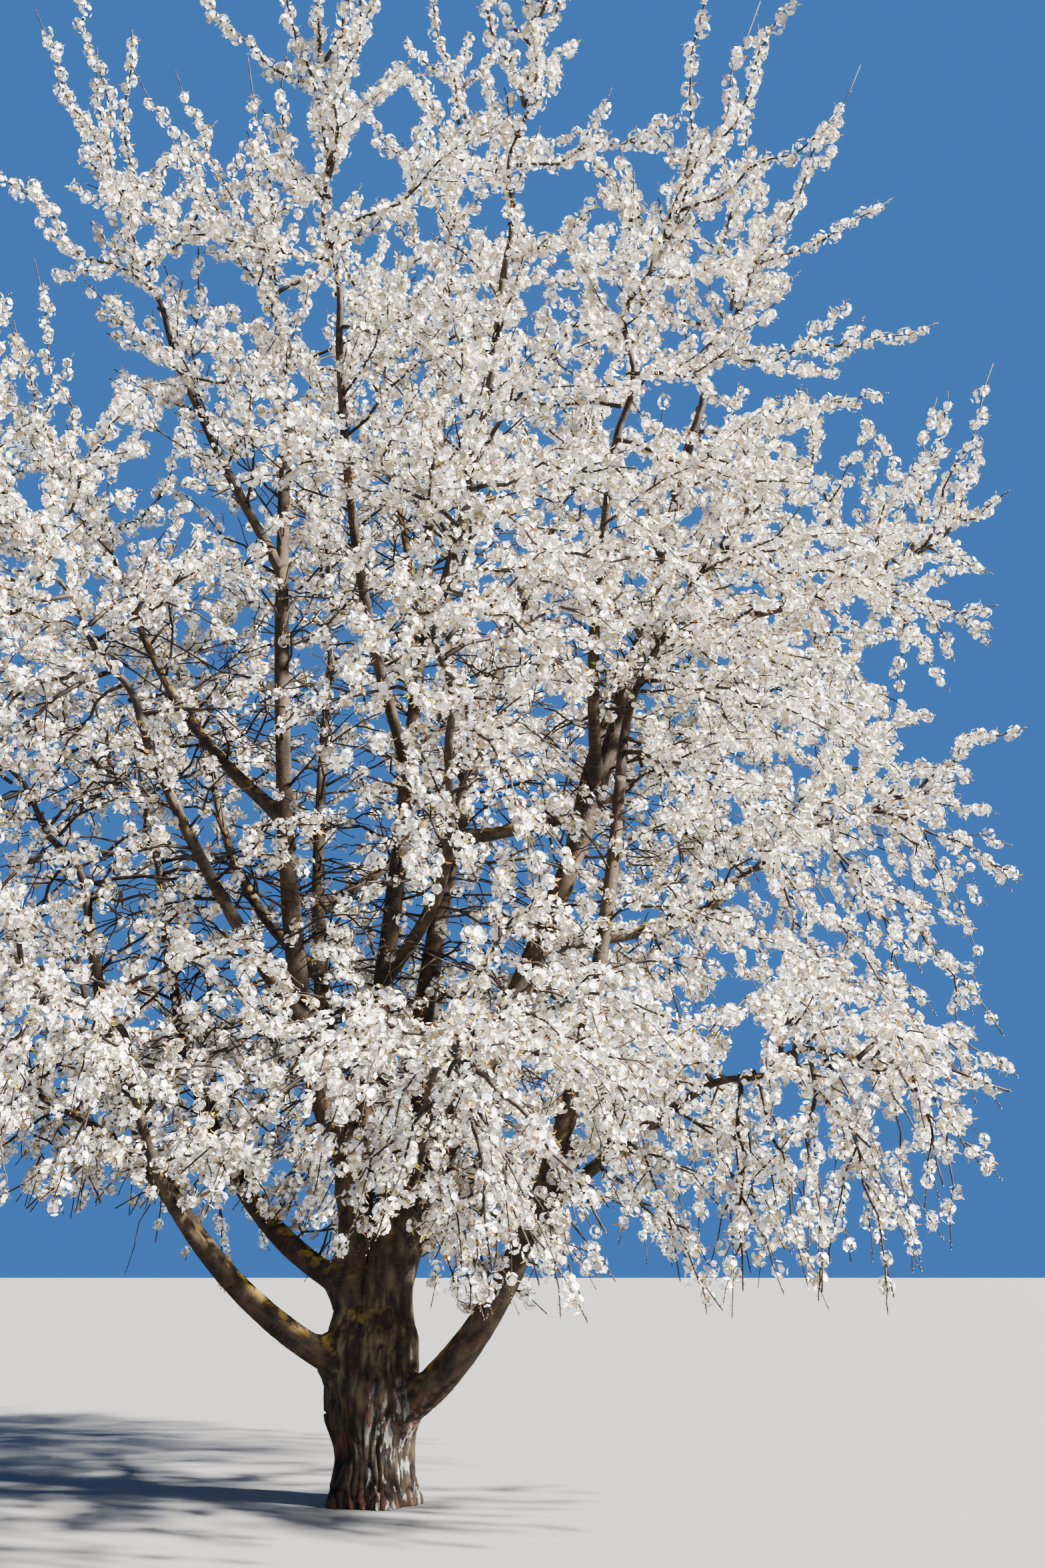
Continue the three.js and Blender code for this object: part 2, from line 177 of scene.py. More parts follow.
# The wood's plan: a short trunk parts into two stems, and ten leading limbs and eighteen side
# boughs rise from them. All grew as one, each limb out of the side of the one that carries it.
TRUNK_HEIGHT = 0.98
TRUNK_RADIUS = 0.25
# Each row: the stem, its foot, its top, and its radii there.
STEMS = [
    ("left_stem", (-0.182, 0.015, 0.88), (-0.190, 0.030, 2.25), (0.114, 0.102)),
    ("right_stem", (0.058, -0.010, 0.88), (0.112, -0.020, 1.83), (0.162, 0.134)),
]
# Each row: the limb, what carries it and where, its tip as azimuth, distance and height, its radii
# at butt and tip, how far it bows out before it rises, and how far it swings sideways.
LIMBS = [
    ("left_low_bough", "trunk", 0.74, (189, 2.10, 3.75), (0.096, 0.038), 0.56, 0.04),
    ("right_low_bough", "trunk", 0.46, (335, 1.82, 4.70), (0.124, 0.040), 0.68, -0.06),
    ("centre_leader", "left_stem", 0.95, (29, 0.40, 9.80), (0.088, 0.028), 0.4, 0.09),
    ("left_leader", "left_stem", 0.93, (210, 0.98, 7.30), (0.098, 0.044), 0.8, 0.02),
    ("back_leader", "left_stem", 0.8, (115, 1.75, 6.30), (0.084, 0.036), 0.3, 0.12),
    ("left_mid_bough", "left_stem", 0.32, (154, 2.10, 4.25), (0.088, 0.034), 0.62, -0.06),
    ("right_leader", "right_stem", 0.85, (348, 2.28, 7.40), (0.120, 0.038), 0.24, 0.07),
    ("back_right_leader", "right_stem", 0.94, (50, 1.80, 7.50), (0.094, 0.036), -0.2, 0.11),
    ("back_low_bough", "right_stem", 0.6, (62, 1.90, 3.10), (0.078, 0.036), 0.3, -0.09),
    ("front_bough", "right_stem", 0.9, (286, 1.50, 2.55), (0.058, 0.032), -0.3, 0.07),
    ("left_low_side", "left_low_bough", 0.5, (176, 2.35, 2.55), (0.046, 0.028), -0.3, 0.06),
    ("left_low_front", "left_low_bough", 0.34, (226, 2.00, 2.50), (0.050, 0.029), 0.2, -0.07),
    ("left_mid_back", "left_mid_bough", 0.35, (136, 2.05, 2.75), (0.048, 0.029), 0.2, 0.06),
    ("right_low_side", "right_low_bough", 0.46, (331, 2.25, 2.45), (0.050, 0.029), -0.2, 0.06),
    ("right_arching_bough", "right_leader", 0.4, (6, 2.50, 4.10), (0.056, 0.030), 0.5, -0.09),
    ("back_low_side", "back_leader", 0.3, (101, 2.05, 3.35), (0.050, 0.030), 0.3, 0.06),
    ("right_long_bough", "right_leader", 0.52, (4, 2.80, 6.35), (0.054, 0.030), -0.7, 0.08),
    ("back_right_mid", "back_right_leader", 0.45, (38, 2.35, 5.30), (0.054, 0.030), 0.3, -0.08),
    ("back_mid", "back_leader", 0.58, (84, 2.15, 5.40), (0.050, 0.030), 0.2, -0.07),
    ("back_left_mid", "back_leader", 0.45, (137, 2.30, 5.40), (0.052, 0.030), 0.3, 0.08),
    ("left_front_mid", "left_leader", 0.36, (226, 2.10, 4.70), (0.054, 0.030), 0.3, 0.09),
    ("front_mid", "centre_leader", 0.24, (287, 1.70, 4.55), (0.052, 0.030), 0.25, 0.16),
    ("right_front_high", "right_leader", 0.6, (316, 2.20, 6.70), (0.048, 0.029), 0.2, -0.08),
    ("left_high", "left_leader", 0.64, (170, 2.20, 6.50), (0.050, 0.029), 0.2, 0.07),
    ("left_fork", "left_leader", 0.9, (193, 1.85, 8.40), (0.040, 0.027), 0.1, 0.06),
    ("front_left_high", "centre_leader", 0.48, (258, 1.55, 7.60), (0.046, 0.028), 0.2, -0.07),
    ("front_high", "centre_leader", 0.6, (306, 1.40, 8.50), (0.042, 0.027), 0.2, 0.06),
    ("back_high", "centre_leader", 0.62, (102, 1.35, 8.70), (0.042, 0.027), 0.2, -0.06),
]
LEADERS = 10
COLLAR = {"leader": 0.10, "side": 0.34}
COLLAR_LENGTH = 0.16
STEM_SUNK = 0.1
RING_SPACING = 0.035

stem_names = [row[0] for row in STEMS]
limb_names = [row[0] for row in LIMBS]
leader_names = limb_names[:LEADERS]


def unit(vectors):
    """Vectors divided by their own lengths."""
    return vectors / np.linalg.norm(vectors, axis=-1, keepdims=True)


def trunk_path(t):
    """The trunk's middle line: straight up from the ground with t."""
    return np.asarray(t, float)[..., None] * (0, 0, TRUNK_HEIGHT)


def bowed_path(foot, tip, bow=0.0, swing=0.0):
    """A limb's middle line. Out and up go from foot to tip with t, but a bow of t(1 - t) is added to
    the way out and taken from the way up, and a half wave swings it sideways and back."""
    out = np.array([tip[0] - foot[0], tip[1] - foot[1], 0])
    rise = np.array([0, 0, tip[2] - foot[2]])
    side = unit(np.array([-out[1], out[0], 0]))

    def at(t):
        t = np.asarray(t, float)[..., None]
        bend = bow * t * (1 - t)
        return foot + out * (t + bend) + side * swing * np.sin(np.pi * t) + rise * (t - bend)

    return at


def heading(path, t):
    """The unit direction of a path: the difference between two points close on both sides of t."""
    t = np.asarray(t, float)
    return unit(path(t + 1e-3) - path(t - 1e-3))


def polar(azimuth, distance, height):
    """A point from its azimuth in degrees, its distance from the tree's axis and its height."""
    turn = np.radians(azimuth)
    return np.array([distance * np.cos(turn), distance * np.sin(turn), height])


# Each limb's path, its radii, its length, and how deep its foot lies inside the one that carries it.
limbs = {"trunk": (trunk_path, (TRUNK_RADIUS, TRUNK_RADIUS), TRUNK_HEIGHT, 0)}
for name, foot, top, radii in STEMS:
    limbs[name] = bowed_path(np.array(foot), np.array(top)), radii, top[2] - foot[2], STEM_SUNK
for name, parent, along, tip, radii, bow, swing in LIMBS:
    path = bowed_path(limbs[parent][0](along), polar(*tip), bow, swing)
    length = np.linalg.norm(np.diff(path(np.linspace(0, 1, 60)), axis=0), axis=1).sum()
    limbs[name] = path, radii, length, np.interp(along, (0, 1), limbs[parent][1])


def measured(name, start=0.0, end=1.0):
    """Points along a limb about one spacing apart, with how far along it each lies and its radius,
    which runs straight from butt to tip and swells into a collar where it leaves what carries it."""
    path, (butt, tip), length, sunk = limbs[name]
    t = np.linspace(start, end, max(3, int(length * (end - start) / RING_SPACING)))
    out = np.maximum(t * length - sunk, 0)
    collar = COLLAR["leader" if name in leader_names else "side"]
    return path(t), t * length, (butt + (tip - butt) * t) * (1 + collar * np.exp(-out / COLLAR_LENGTH))


def square_to(forward):
    """Unit vectors square to directions: the cross product with upright, or with X near upright."""
    upright = np.abs(forward[..., 2:]) >= 0.9
    reference = np.where(upright, np.array([1.0, 0, 0]), np.array([0, 0, 1.0]))
    return unit(np.cross(reference, forward))


def on_each(faces, shapes, points_each):
    """The same faces on each of many like shapes, whose points follow one another."""
    faces = np.asarray(faces)[None] + (np.arange(shapes) * points_each)[:, None, None]
    return faces.reshape(-1, faces.shape[-1])


def tubes(lines, radii, sides):
    """Round bars along many lines at once, each with as many points. Every ring is a circle of the
    line's radius there, square to the line, and carries its bearing on from the ring before it. The
    two ends close on their middles. Gives points, four-cornered faces, and each ring point's way out."""
    count, steps, _ = lines.shape
    forward = unit(np.gradient(lines, axis=1))
    across = np.empty_like(lines)
    across[:, 0] = square_to(forward[:, 0])
    for step in range(1, steps):
        carried = across[:, step - 1]
        off = (carried * forward[:, step]).sum(-1, keepdims=True)
        across[:, step] = unit(carried - off * forward[:, step])
    third = np.cross(forward, across)
    bearing = (np.arange(sides) * 2 * np.pi / sides)[:, None]
    outward = across[:, :, None] * np.cos(bearing) + third[:, :, None] * np.sin(bearing)
    rings = lines[:, :, None] + outward * radii[:, :, None, None]
    points = np.concatenate([rings.reshape(count, -1, 3), lines[:, :1], lines[:, -1:]], axis=1)
    ring, side = np.meshgrid(np.arange(steps - 1), np.arange(sides), indexing="ij")
    here = ring * sides + side
    beside = ring * sides + (side + 1) % sides
    walls = np.stack([here, beside, beside + sides, here + sides], -1).reshape(-1, 4)
    even = np.arange(0, sides, 2)
    last = (steps - 1) * sides
    foot = np.full_like(even, steps * sides)
    starts = np.stack([foot, (even + 2) % sides, (even + 1) % sides, even], -1)
    ends = np.stack([foot + 1, last + even, last + (even + 1) % sides, last + (even + 2) % sides], -1)
    faces = on_each(np.concatenate([walls, starts, ends]), count, points.shape[1])
    return points.reshape(-1, 3), faces, outward


# The bark: old cherry bark, split lengthwise into rough plates on the trunk and ringed crosswise by
# corky pores on the limbs. It is worked into the wood's own mesh, and its fine grain into the finish.
FLUTE = 0.036
FURROW = 0.014
PLATE = 0.004
RING = 0.0022
SWELL = 0.12
# Each mark of the bark: how wide and how long it is, and its seed.
BARK_MARKS = {
    "warp": (0.11, 0.15, 5),
    "flutes": (0.13, 0.9, 6),
    "furrows": (0.036, 0.17, 1),
    "cracks": (0.026, 0.05, 7),
    "plates": (0.024, 0.06, 2),
    "rings": (0.14, 0.024, 3),
    "swell": (0.22, 0.34, 4),
}
SCATTER = np.array([127.1, 311.7, 74.7])
SCATTER_SEED, SCATTER_HEIGHT = 53.3, 43758.5453


def bark_noise(grain, mark):
    """Smooth noise from 0 to 1 in cells as wide and long as a mark of the bark. Each whole cell's
    eight corners take the fraction of a large sine of their own whole numbers, and a point between
    them blends the eight by 3f² - 2f³ on each side."""
    wide, long, seed = BARK_MARKS[mark]
    points = grain / (wide, wide, long)
    cell = np.floor(points)
    part = points - cell
    part = part * part * (3 - 2 * part)
    total = np.zeros(len(points))
    for corner in np.ndindex(2, 2, 2):
        grown = np.sin((cell + corner) @ SCATTER + SCATTER_SEED * seed) * SCATTER_HEIGHT
        weight = np.prod(np.where(corner, part, 1 - part), axis=1)
        total += weight * (grown - np.floor(grown))
    return total


def bark_folds(grain, mark):
    """The folds of that noise: 1 where it passes one half, and less on both sides."""
    return 1 - np.abs(2 * bark_noise(grain, mark) - 1)


def bark_height(grain, girth):
    """How far bark stands out, in metres, with how open to the light it lies, as a share. grain is a
    point's place across and along its limb. Flutes and furrows are the folds of noises drawn out
    along the limb, deep on thick wood, plates a finer noise, and rings one drawn out across it."""
    old = np.clip((girth - 0.09) / 0.13, 0, 1)
    bent = grain + 0.045 * (bark_noise(grain, "warp") - 0.5)[:, None] * (1, 1, 0)
    flutes, furrows, cracks = (bark_folds(bent, mark) for mark in ("flutes", "furrows", "cracks"))
    plates, rings, swell = (bark_noise(grain, mark) - 0.5 for mark in ("plates", "rings", "swell"))
    height = -FLUTE * old ** 2 * flutes ** 2 - FURROW * (0.15 + 0.85 * old) * furrows ** 4
    height += PLATE * (0.35 + 0.65 * old) * (plates - cracks ** 3)
    height += RING * (1 - 0.6 * old) * rings + SWELL * np.minimum(girth, 0.13) * swell
    return height, 1 - (0.25 + 0.5 * old) * furrows ** 4 - 0.25 * cracks ** 4


# The trunk and the fork: one welded body of wood with flared root buttresses at the ground, two
# stems side by side, and the thick feet of the ten leading limbs, with a callus where one was sawn.
TRUNK_WAIST = (0.262, 0.240)
TRUNK_FORK = (0.264, 0.180)
TRUNK_LEAN = -0.038
TRUNK_STRAIGHT = 0.45
TRUNK_SIDES, TRUNK_STEPS = 64, 40
ROOT_FLARE = 0.062
ROOT_FLARE_HEIGHT = 0.17
BUTTRESSES = 5
BUTTRESS_DEPTH = 0.5
BUTTRESS_TURN = 0.6
UNDER_CUT = 0.06
UNDER_TUCK = 3
STEM_ROOTED = -0.25
WELD_REACH = 0.95
WELD_GRAIN = 0.0105
WELD_ROUNDS = 4
WELD_SOFTENING = 5
WELD_SIDES = 24
WELD_STEP = 0.05
WELD_SLOPE = 0.25
DOWNWARD = -0.7
FAR_OFF = 1e3
FILLET = 0.15
CALLUS_PLACE = (0.085, -0.155, 1.60)
CALLUS_RADIUS = 0.085
CALLUS_HEIGHT = 0.055
CALLUS_FOLDS = (0.007, 0.026)


def trunk_wall(bearing, height):
    """The trunk's skin by bearing and height: an oval whose half widths run from waist to fork by a
    smooth step, widened near the ground by a flare that dies away upwards and waves five times
    round, and shifted to the left as it climbs."""
    climb = np.clip((height / TRUNK_HEIGHT - TRUNK_STRAIGHT) / (1 - TRUNK_STRAIGHT), 0, 1)
    climb = climb * climb * (3 - 2 * climb)
    wave = 1 + BUTTRESS_DEPTH * np.cos(BUTTRESSES * bearing + BUTTRESS_TURN)
    flare = ROOT_FLARE * np.exp(-np.maximum(height, 0) / ROOT_FLARE_HEIGHT) * wave
    half_width = TRUNK_WAIST[0] + (TRUNK_FORK[0] - TRUNK_WAIST[0]) * climb + flare
    half_depth = TRUNK_WAIST[1] + (TRUNK_FORK[1] - TRUNK_WAIST[1]) * climb + flare
    x = half_width * np.cos(bearing) + TRUNK_LEAN * climb
    return np.stack([x, half_depth * np.sin(bearing), height + 0 * bearing], -1)


def gathered(parts):
    """Points and faces of several shells as one pair of arrays, each shell's faces counted on."""
    ahead = np.cumsum([0] + [len(points) for points, _ in parts[:-1]])
    points = np.concatenate([points for points, _ in parts])
    faces = np.concatenate([faces + shift for (_, faces), shift in zip(parts, ahead)])
    return points, faces


bearings = np.arange(TRUNK_SIDES) * 2 * np.pi / TRUNK_SIDES
heights = np.linspace(-UNDER_CUT, TRUNK_HEIGHT, TRUNK_STEPS)
wall = trunk_wall(*np.meshgrid(bearings, heights)).reshape(-1, 3)
wall_ends = [[0, 0, -UNDER_CUT], [TRUNK_LEAN, 0, TRUNK_HEIGHT]]
plumb = np.linspace(0, 1, TRUNK_STEPS)[None, :, None] * (0, 0, 1)
_, wall_faces, _ = tubes(plumb, np.ones((1, TRUNK_STEPS)), TRUNK_SIDES)
shells = [(np.concatenate([wall, wall_ends]), wall_faces)]
middle = (trunk_wall(0.0, heights) + trunk_wall(np.pi, heights)) / 2
axes = [(middle, heights, np.full(TRUNK_STEPS, TRUNK_RADIUS))]
for name in stem_names + leader_names:
    reach = (STEM_ROOTED, 1.0) if name in stem_names else (0.0, WELD_REACH / limbs[name][2])
    line, along, radius = measured(name, *reach)
    points, faces, _ = tubes(line[None], radius[None], WELD_SIDES)
    shells.append((points, faces))
    axes.append((line, along, radius))


def softened(points, faces, kind, **settings):
    """Points, outward directions and faces of a mesh after one of Blender's modifiers."""
    rough = skin("rough", points, faces)
    change = rough.modifiers.new("change", kind)
    for name, value in settings.items():
        setattr(change, name, value)
    mesh = bpy.data.meshes.new_from_object(rough.evaluated_get(bpy.context.evaluated_depsgraph_get()))
    bpy.data.objects.remove(rough)
    places, directions = np.empty((2, len(mesh.vertices), 3), np.float32)
    corners = np.empty(len(mesh.loops), np.int32)
    mesh.vertices.foreach_get("co", places.ravel())
    mesh.vertices.foreach_get("normal", directions.ravel())
    mesh.loops.foreach_get("vertex_index", corners)
    bpy.data.meshes.remove(mesh)
    return places.astype(float), directions.astype(float), corners.reshape(-1, 4)


def joined_wood(points):
    """The wood near the fork as one rounded body. For each limb: the distance to its skin, as that
    to the nearest of the balls along its line. The least two, a and b, join by the smooth minimum
    a h + b (1 - h) - f h (1 - h), where f is the fillet and h is 1/2 + (b - a)/2f, kept from 0 to 1.
    Gives that, its slope, h, and for both limbs the place across and along it and its radius there."""
    gaps = np.full((len(axes), len(points)), FAR_OFF)
    slopes = np.zeros((len(axes), len(points), 3))
    grains = np.zeros((len(axes), len(points), 3))
    radii = np.zeros((len(axes), len(points)))
    for index, (line, along, radius) in enumerate(axes):
        margin = radius.max() + 2 * FILLET
        near = ((points > line.min(0) - margin) & (points < line.max(0) + margin)).all(1)
        forward = unit(np.gradient(line, axis=0))
        across = square_to(forward[0])
        local = points[near]
        gap, slope = gaps[index, near], slopes[index, near]
        grain, girth = grains[index, near], radii[index, near]
        for step in range(len(line)):
            across = unit(across - (across @ forward[step]) * forward[step])
            third = np.cross(forward[step], across)
            away = local - line[step]
            skin_radius = radius[step]
            if index == 0:
                wall = trunk_wall(np.arctan2(away[:, 1], away[:, 0]), along[step])
                skin_radius = np.linalg.norm(wall - line[step], axis=1)
            distance = np.linalg.norm(away, axis=1)
            closer = distance - skin_radius < gap
            gap[closer] = (distance - skin_radius)[closer]
            slope[closer] = away[closer] / distance[closer, None]
            away = away[closer]
            grain[closer] = np.stack([away @ across, away @ third, along[step] + away @ forward[step]], -1)
            girth[closer] = radius[step]
        gaps[index, near], slopes[index, near] = gap, slope
        grains[index, near], radii[index, near] = grain, girth
    order = np.argsort(gaps, axis=0)
    each = np.arange(len(points))
    first, second = gaps[order[0], each], gaps[order[1], each]
    share = np.clip(0.5 + 0.5 * (second - first) / FILLET, 0, 1)
    gap = first * share + second * (1 - share) - FILLET * share * (1 - share)
    slope = slopes[order[0], each] * share[:, None] + slopes[order[1], each] * (1 - share)[:, None]
    return gap, slope, share, grains[order[:2], each], radii[order[:2], each]


# The shells are remeshed as one skin, which is drawn onto the joined wood and softened in turns. What
# faces down isn't drawn. Then the bark is added, and what lies under the cut is tucked in and flattened.
points, outward, faces = softened(*gathered(shells), "REMESH", mode="VOXEL", voxel_size=WELD_GRAIN)
for _ in range(WELD_ROUNDS):
    gap, slope, share, grain, girth = joined_wood(points)
    step = np.clip(gap, -WELD_STEP, WELD_STEP) / np.maximum((slope ** 2).sum(1), WELD_SLOPE)
    step *= outward[:, 2] > DOWNWARD
    drawn = points - slope * step[:, None]
    points, outward, faces = softened(drawn, faces, "SMOOTH", factor=0.5, iterations=WELD_SOFTENING)
near_bark, far_bark = (np.array(bark_height(*wood)) for wood in zip(grain, girth))
height, hollow = near_bark * share + far_bark * (1 - share)
grain, girth = grain[0], girth[0] * share + girth[1] * (1 - share)
from_callus = np.linalg.norm(points - CALLUS_PLACE, axis=1)
mound = np.exp(-((from_callus / CALLUS_RADIUS) ** 2))
height += mound * (CALLUS_HEIGHT + CALLUS_FOLDS[0] * np.cos(2 * np.pi * from_callus / CALLUS_FOLDS[1]))
points += outward * height[:, None]
points[:, :2] *= 1 + UNDER_TUCK * np.minimum(points[:, 2:], 0)
points[:, 2] = np.maximum(points[:, 2], 0)
trunk = skin(
    "trunk_and_fork", points, faces, smooth=True,
    attributes=[("grain", grain), ("girth", girth), ("hollow", hollow)],
)
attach(trunk, "root")
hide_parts("trunk", *stem_names)

# The boughs: round tapering limbs from the fork out to where the blossom begins, each with a collar
# at its foot, slow swellings, and the same bark as the trunk, smoother and more ringed as it thins.
BOUGH_SIDES = 14
BOUGH_OVERLAP = 0.12

bearing = np.arange(BOUGH_SIDES) * 2 * np.pi / BOUGH_SIDES
turn = np.stack([np.cos(bearing), np.sin(bearing)], -1)
parts, grains, girths, hollows = [], [], [], []
for name in limb_names:
    start = (WELD_REACH - BOUGH_OVERLAP) / limbs[name][2] if name in leader_names else 0.0
    line, along, radius = measured(name, start)
    points, faces, outward = tubes(line[None], radius[None], BOUGH_SIDES)
    lifted = np.broadcast_to(along[:, None, None], (len(line), BOUGH_SIDES, 1))
    place = np.concatenate([radius[:, None, None] * turn, lifted], -1).reshape(-1, 3)
    girth = np.repeat(radius, BOUGH_SIDES)
    height, hollow = bark_height(place, girth)
    points[: len(place)] += outward.reshape(-1, 3) * height[:, None]
    parts.append((points, faces))
    grains.append(np.concatenate([place, [[0, 0, along[0]], [0, 0, along[-1]]]]))
    girths.append(np.concatenate([girth, radius[[0, -1]]]))
    hollows.append(np.concatenate([hollow, [1, 1]]))
marks = {"grain": grains, "girth": girths, "hollow": hollows}
boughs = skin(
    "boughs", *gathered(parts), smooth=True,
    attributes=[(mark, np.concatenate(numbers)) for mark, numbers in marks.items()],
)
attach(boughs, "root")
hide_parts(*limb_names)

# The bark's finish, on trunk and boughs alike: dark old bark with greyer plates, red-brown where it
# peels, ringed pores on young wood, ochre on top that is partly lichen and partly painted sunlight, pale
# patches low on the lit side that are partly lichen and partly painted sunlit patches, and painted shade
# in the furrows and cracks.
OLD_BARK = (0.016, 0.011, 0.009)
GREY_BARK = (0.125, 0.104, 0.054)
RED_BARK = (0.150, 0.056, 0.034)
PORE_BARK = (0.085, 0.066, 0.040)
# Partly pale lichen, partly painted sunlight on the lit side of the trunk's foot.
PALE_LICHEN_AND_SUNLIGHT = (0.40, 0.39, 0.35)
# Partly ochre lichen, partly painted sunlight on the tops of boughs.
OCHRE_LICHEN_AND_SUNLIGHT = (0.30, 0.20, 0.03)
FURROW_SHADE = (0.006, 0.0045, 0.0035)

bark = Finish("cherry_bark")
place = bark.node("ShaderNodeAttribute", {}, output=1, attribute_name="grain")
thick = bark.node("ShaderNodeAttribute", {}, output=2, attribute_name="girth")
open_bark = bark.node("ShaderNodeAttribute", {}, output=2, attribute_name="hollow")
spot = bark.node("ShaderNodeTexCoord", {}, output=3)


def opened(finish, value, low, high):
    """A mask that opens from 0 to 1 while a value goes from low to high."""
    return finish.node("ShaderNodeMapRange", {"Value": value, "From Min": low, "From Max": high})


def part_of(finish, vector, axis):
    """One of a vector's three numbers: 0, 1 or 2 for X, Y or Z."""
    return finish.node("ShaderNodeSeparateXYZ", {"Vector": vector}, output=axis)


def blotches(finish, vector, scale, detail, low, high, stretch=(1, 1, 1)):
    """A soft-edged mask: noise on a stretched vector, opened between low and high."""
    drawn = finish.node("ShaderNodeMapping", {"Vector": vector, "Scale": stretch})
    noise = finish.node("ShaderNodeTexNoise", {"Vector": drawn, "Scale": scale, "Detail": detail})
    return opened(finish, noise, low, high)


def laid_over(finish, share, under, over):
    """One colour over another by a share."""
    return finish.node("ShaderNodeMix", {0: share, 6: under, 7: over}, output=2, data_type="RGBA")


plates = blotches(bark, place, 13, 8, 0.42, 0.66, (1, 1, 0.4))
ringed = blotches(bark, place, 17, 4, 0.52, 0.62, (0.7, 0.7, 4.5))
warm = blotches(bark, place, 10, 8, 0.48, 0.64, (1, 1, 0.5))
lichen_and_sunlit_patches = blotches(bark, spot, 30.0, 12, 0.552, 0.59, (1, 1, 0.26))
ochre_and_sunlit_tops = blotches(bark, spot, 12.0, 9, 0.50, 0.57)
facing = bark.node("ShaderNodeNewGeometry", {}, output=1)
upper = opened(bark, part_of(bark, facing, 2), 0.15, 0.85)
lit_side = opened(bark, part_of(bark, spot, 0), -0.06, 0.02)
low = opened(bark, part_of(bark, spot, 2), 0.80, 0.50)
stout = opened(bark, thick, 0.08, 0.22)
colour = laid_over(bark, plates, OLD_BARK, GREY_BARK)
colour = laid_over(bark, (1 - stout) * 0.72 + low * 0.45, colour, OLD_BARK)
colour = laid_over(bark, warm * (0.14 + low * 0.58), colour, RED_BARK)
colour = laid_over(bark, ringed * (1 - stout) * 0.28, colour, PORE_BARK)
# Painted light in part: pale patches low on the trunk, partly pale lichen and partly painted sunlight,
# kept to the lamp's lit right side.
colour = laid_over(bark, lichen_and_sunlit_patches * low * lit_side * stout * 0.9, colour, PALE_LICHEN_AND_SUNLIGHT)
# Painted light in part: ochre on faces that look up, partly lichen and partly painted sunlight on the tops
# of boughs.
colour = laid_over(bark, ochre_and_sunlit_tops * upper * (1 - low) * 0.8, colour, OCHRE_LICHEN_AND_SUNLIGHT)
# Painted shade: the furrows and cracks, where the bark lies least open to light, darken towards a
# near-black.
colour = laid_over(bark, opened(bark, open_bark, 0.2, 0.9), FURROW_SHADE, colour)
fine = bark.node("ShaderNodeTexNoise", {"Vector": place, "Scale": 75, "Detail": 6})
relief = bark.node(
    "ShaderNodeBump", {"Height": fine + ringed * 0.3 + plates * 0.8, "Strength": 0.75, "Distance": 0.004},
)
bark.wear(
    trunk, boughs,
    Base_Color=colour, Roughness=0.78 + plates * 0.14, Specular_IOR_Level=0.15, Normal=relief,
)

# The shoots: each bough runs on as the stem of a mass of blossom, and shoots leave the stem, and
# twigs the shoots, by the golden angle. All are living wood, drawn out thin, with bare budded ends.
SEAM = 0.0003
CROWN_HALF = (5.15, 4.25, 7.0)
CROWN_MIDDLE = 5.3
CROWN_FLOOR = 1.15
CROWN_BOX = ((-4.72, -4.08, 0), (4.98, 4.20, 12.25))
HEART_HEIGHT = 3.6
STEM_REACH = (0.9, 2.3, 0.05)
STEM_SKIN = 0.03
GOLDEN_ANGLE = 137.5
SHOOTS_PER_MASS = 9
SHOOT_PLACES = (0.08, 0.84)
SHOOT_SPREAD = (108, 36)
SHOOT_LENGTH = 1.75
SHORTER_TRIES = (1, 0.8, 0.62, 0.45)
SHOOT_RADII = (0.018, 0.0045)
HANG = 0.22
SUNNY_HANG = (0.85, 1.45)
SUNNY_FROM = 3
WAVE, SWAY = 0.042, 0.030
WOOD_STEPS = 14
LIFT_LEVEL, LIFT_WITHIN, LIFT_RANGE = 4.4, 9, (-0.22, 0.3)
TOP_FROM, TOP_TO = 5.5, 9.5
TOP_CENTRE = 7.4
OPEN_SIDE = (0.42, 2.20)
OPEN_HEIGHT = (1.78, 1.48)
OPEN_FROM, OPEN_WITHIN = -0.9, 0.6


def chance(one, other):
    """A number from 0 to 1 that is always the same for the same two numbers: the fraction of a
    large sine of both."""
    spread = np.sin(one * SCATTER[0] + other * SCATTER[1]) * SCATTER_HEIGHT
    return spread - np.floor(spread)


def varied(one, other):
    """A size factor between 0.8 and 1.2 from the same chance."""
    return 0.8 + 0.4 * chance(one, other)


def counted_off(counts):
    """For groups with counts of their own: each member's group, and which one it is there."""
    group = np.repeat(np.arange(len(counts)), counts)
    return group, np.arange(len(group)) - np.repeat(np.cumsum(counts) - counts, counts)


def between(ends, share):
    """The value a share of the way from the first end to the second."""
    return ends[0] + (ends[1] - ends[0]) * share


def depth_in_crown(points):
    """How far points lie inside the crown's egg, as a share of its radius there: 0 on its skin."""
    return 1 - np.linalg.norm((points - (0, 0, CROWN_MIDDLE)) / CROWN_HALF, axis=-1)


def topness(points):
    """How near points are to the crown's top, from 0 to 1."""
    return np.clip((points[..., 2] - TOP_FROM) / (TOP_TO - TOP_FROM), 0, 1)


def sunniness(points):
    """How far points lie on the crown's sunny right side, from 0 in the middle to 1."""
    return np.clip(points[..., 0] / SUNNY_FROM, 0, 1)


def turned_across(forward, degrees):
    """Unit vectors square to directions and turned about them: across times the cosine, and the
    third side times the sine."""
    across = square_to(forward)
    turn = np.radians(degrees)[:, None]
    return across * np.cos(turn) + np.cross(forward, across) * np.sin(turn)


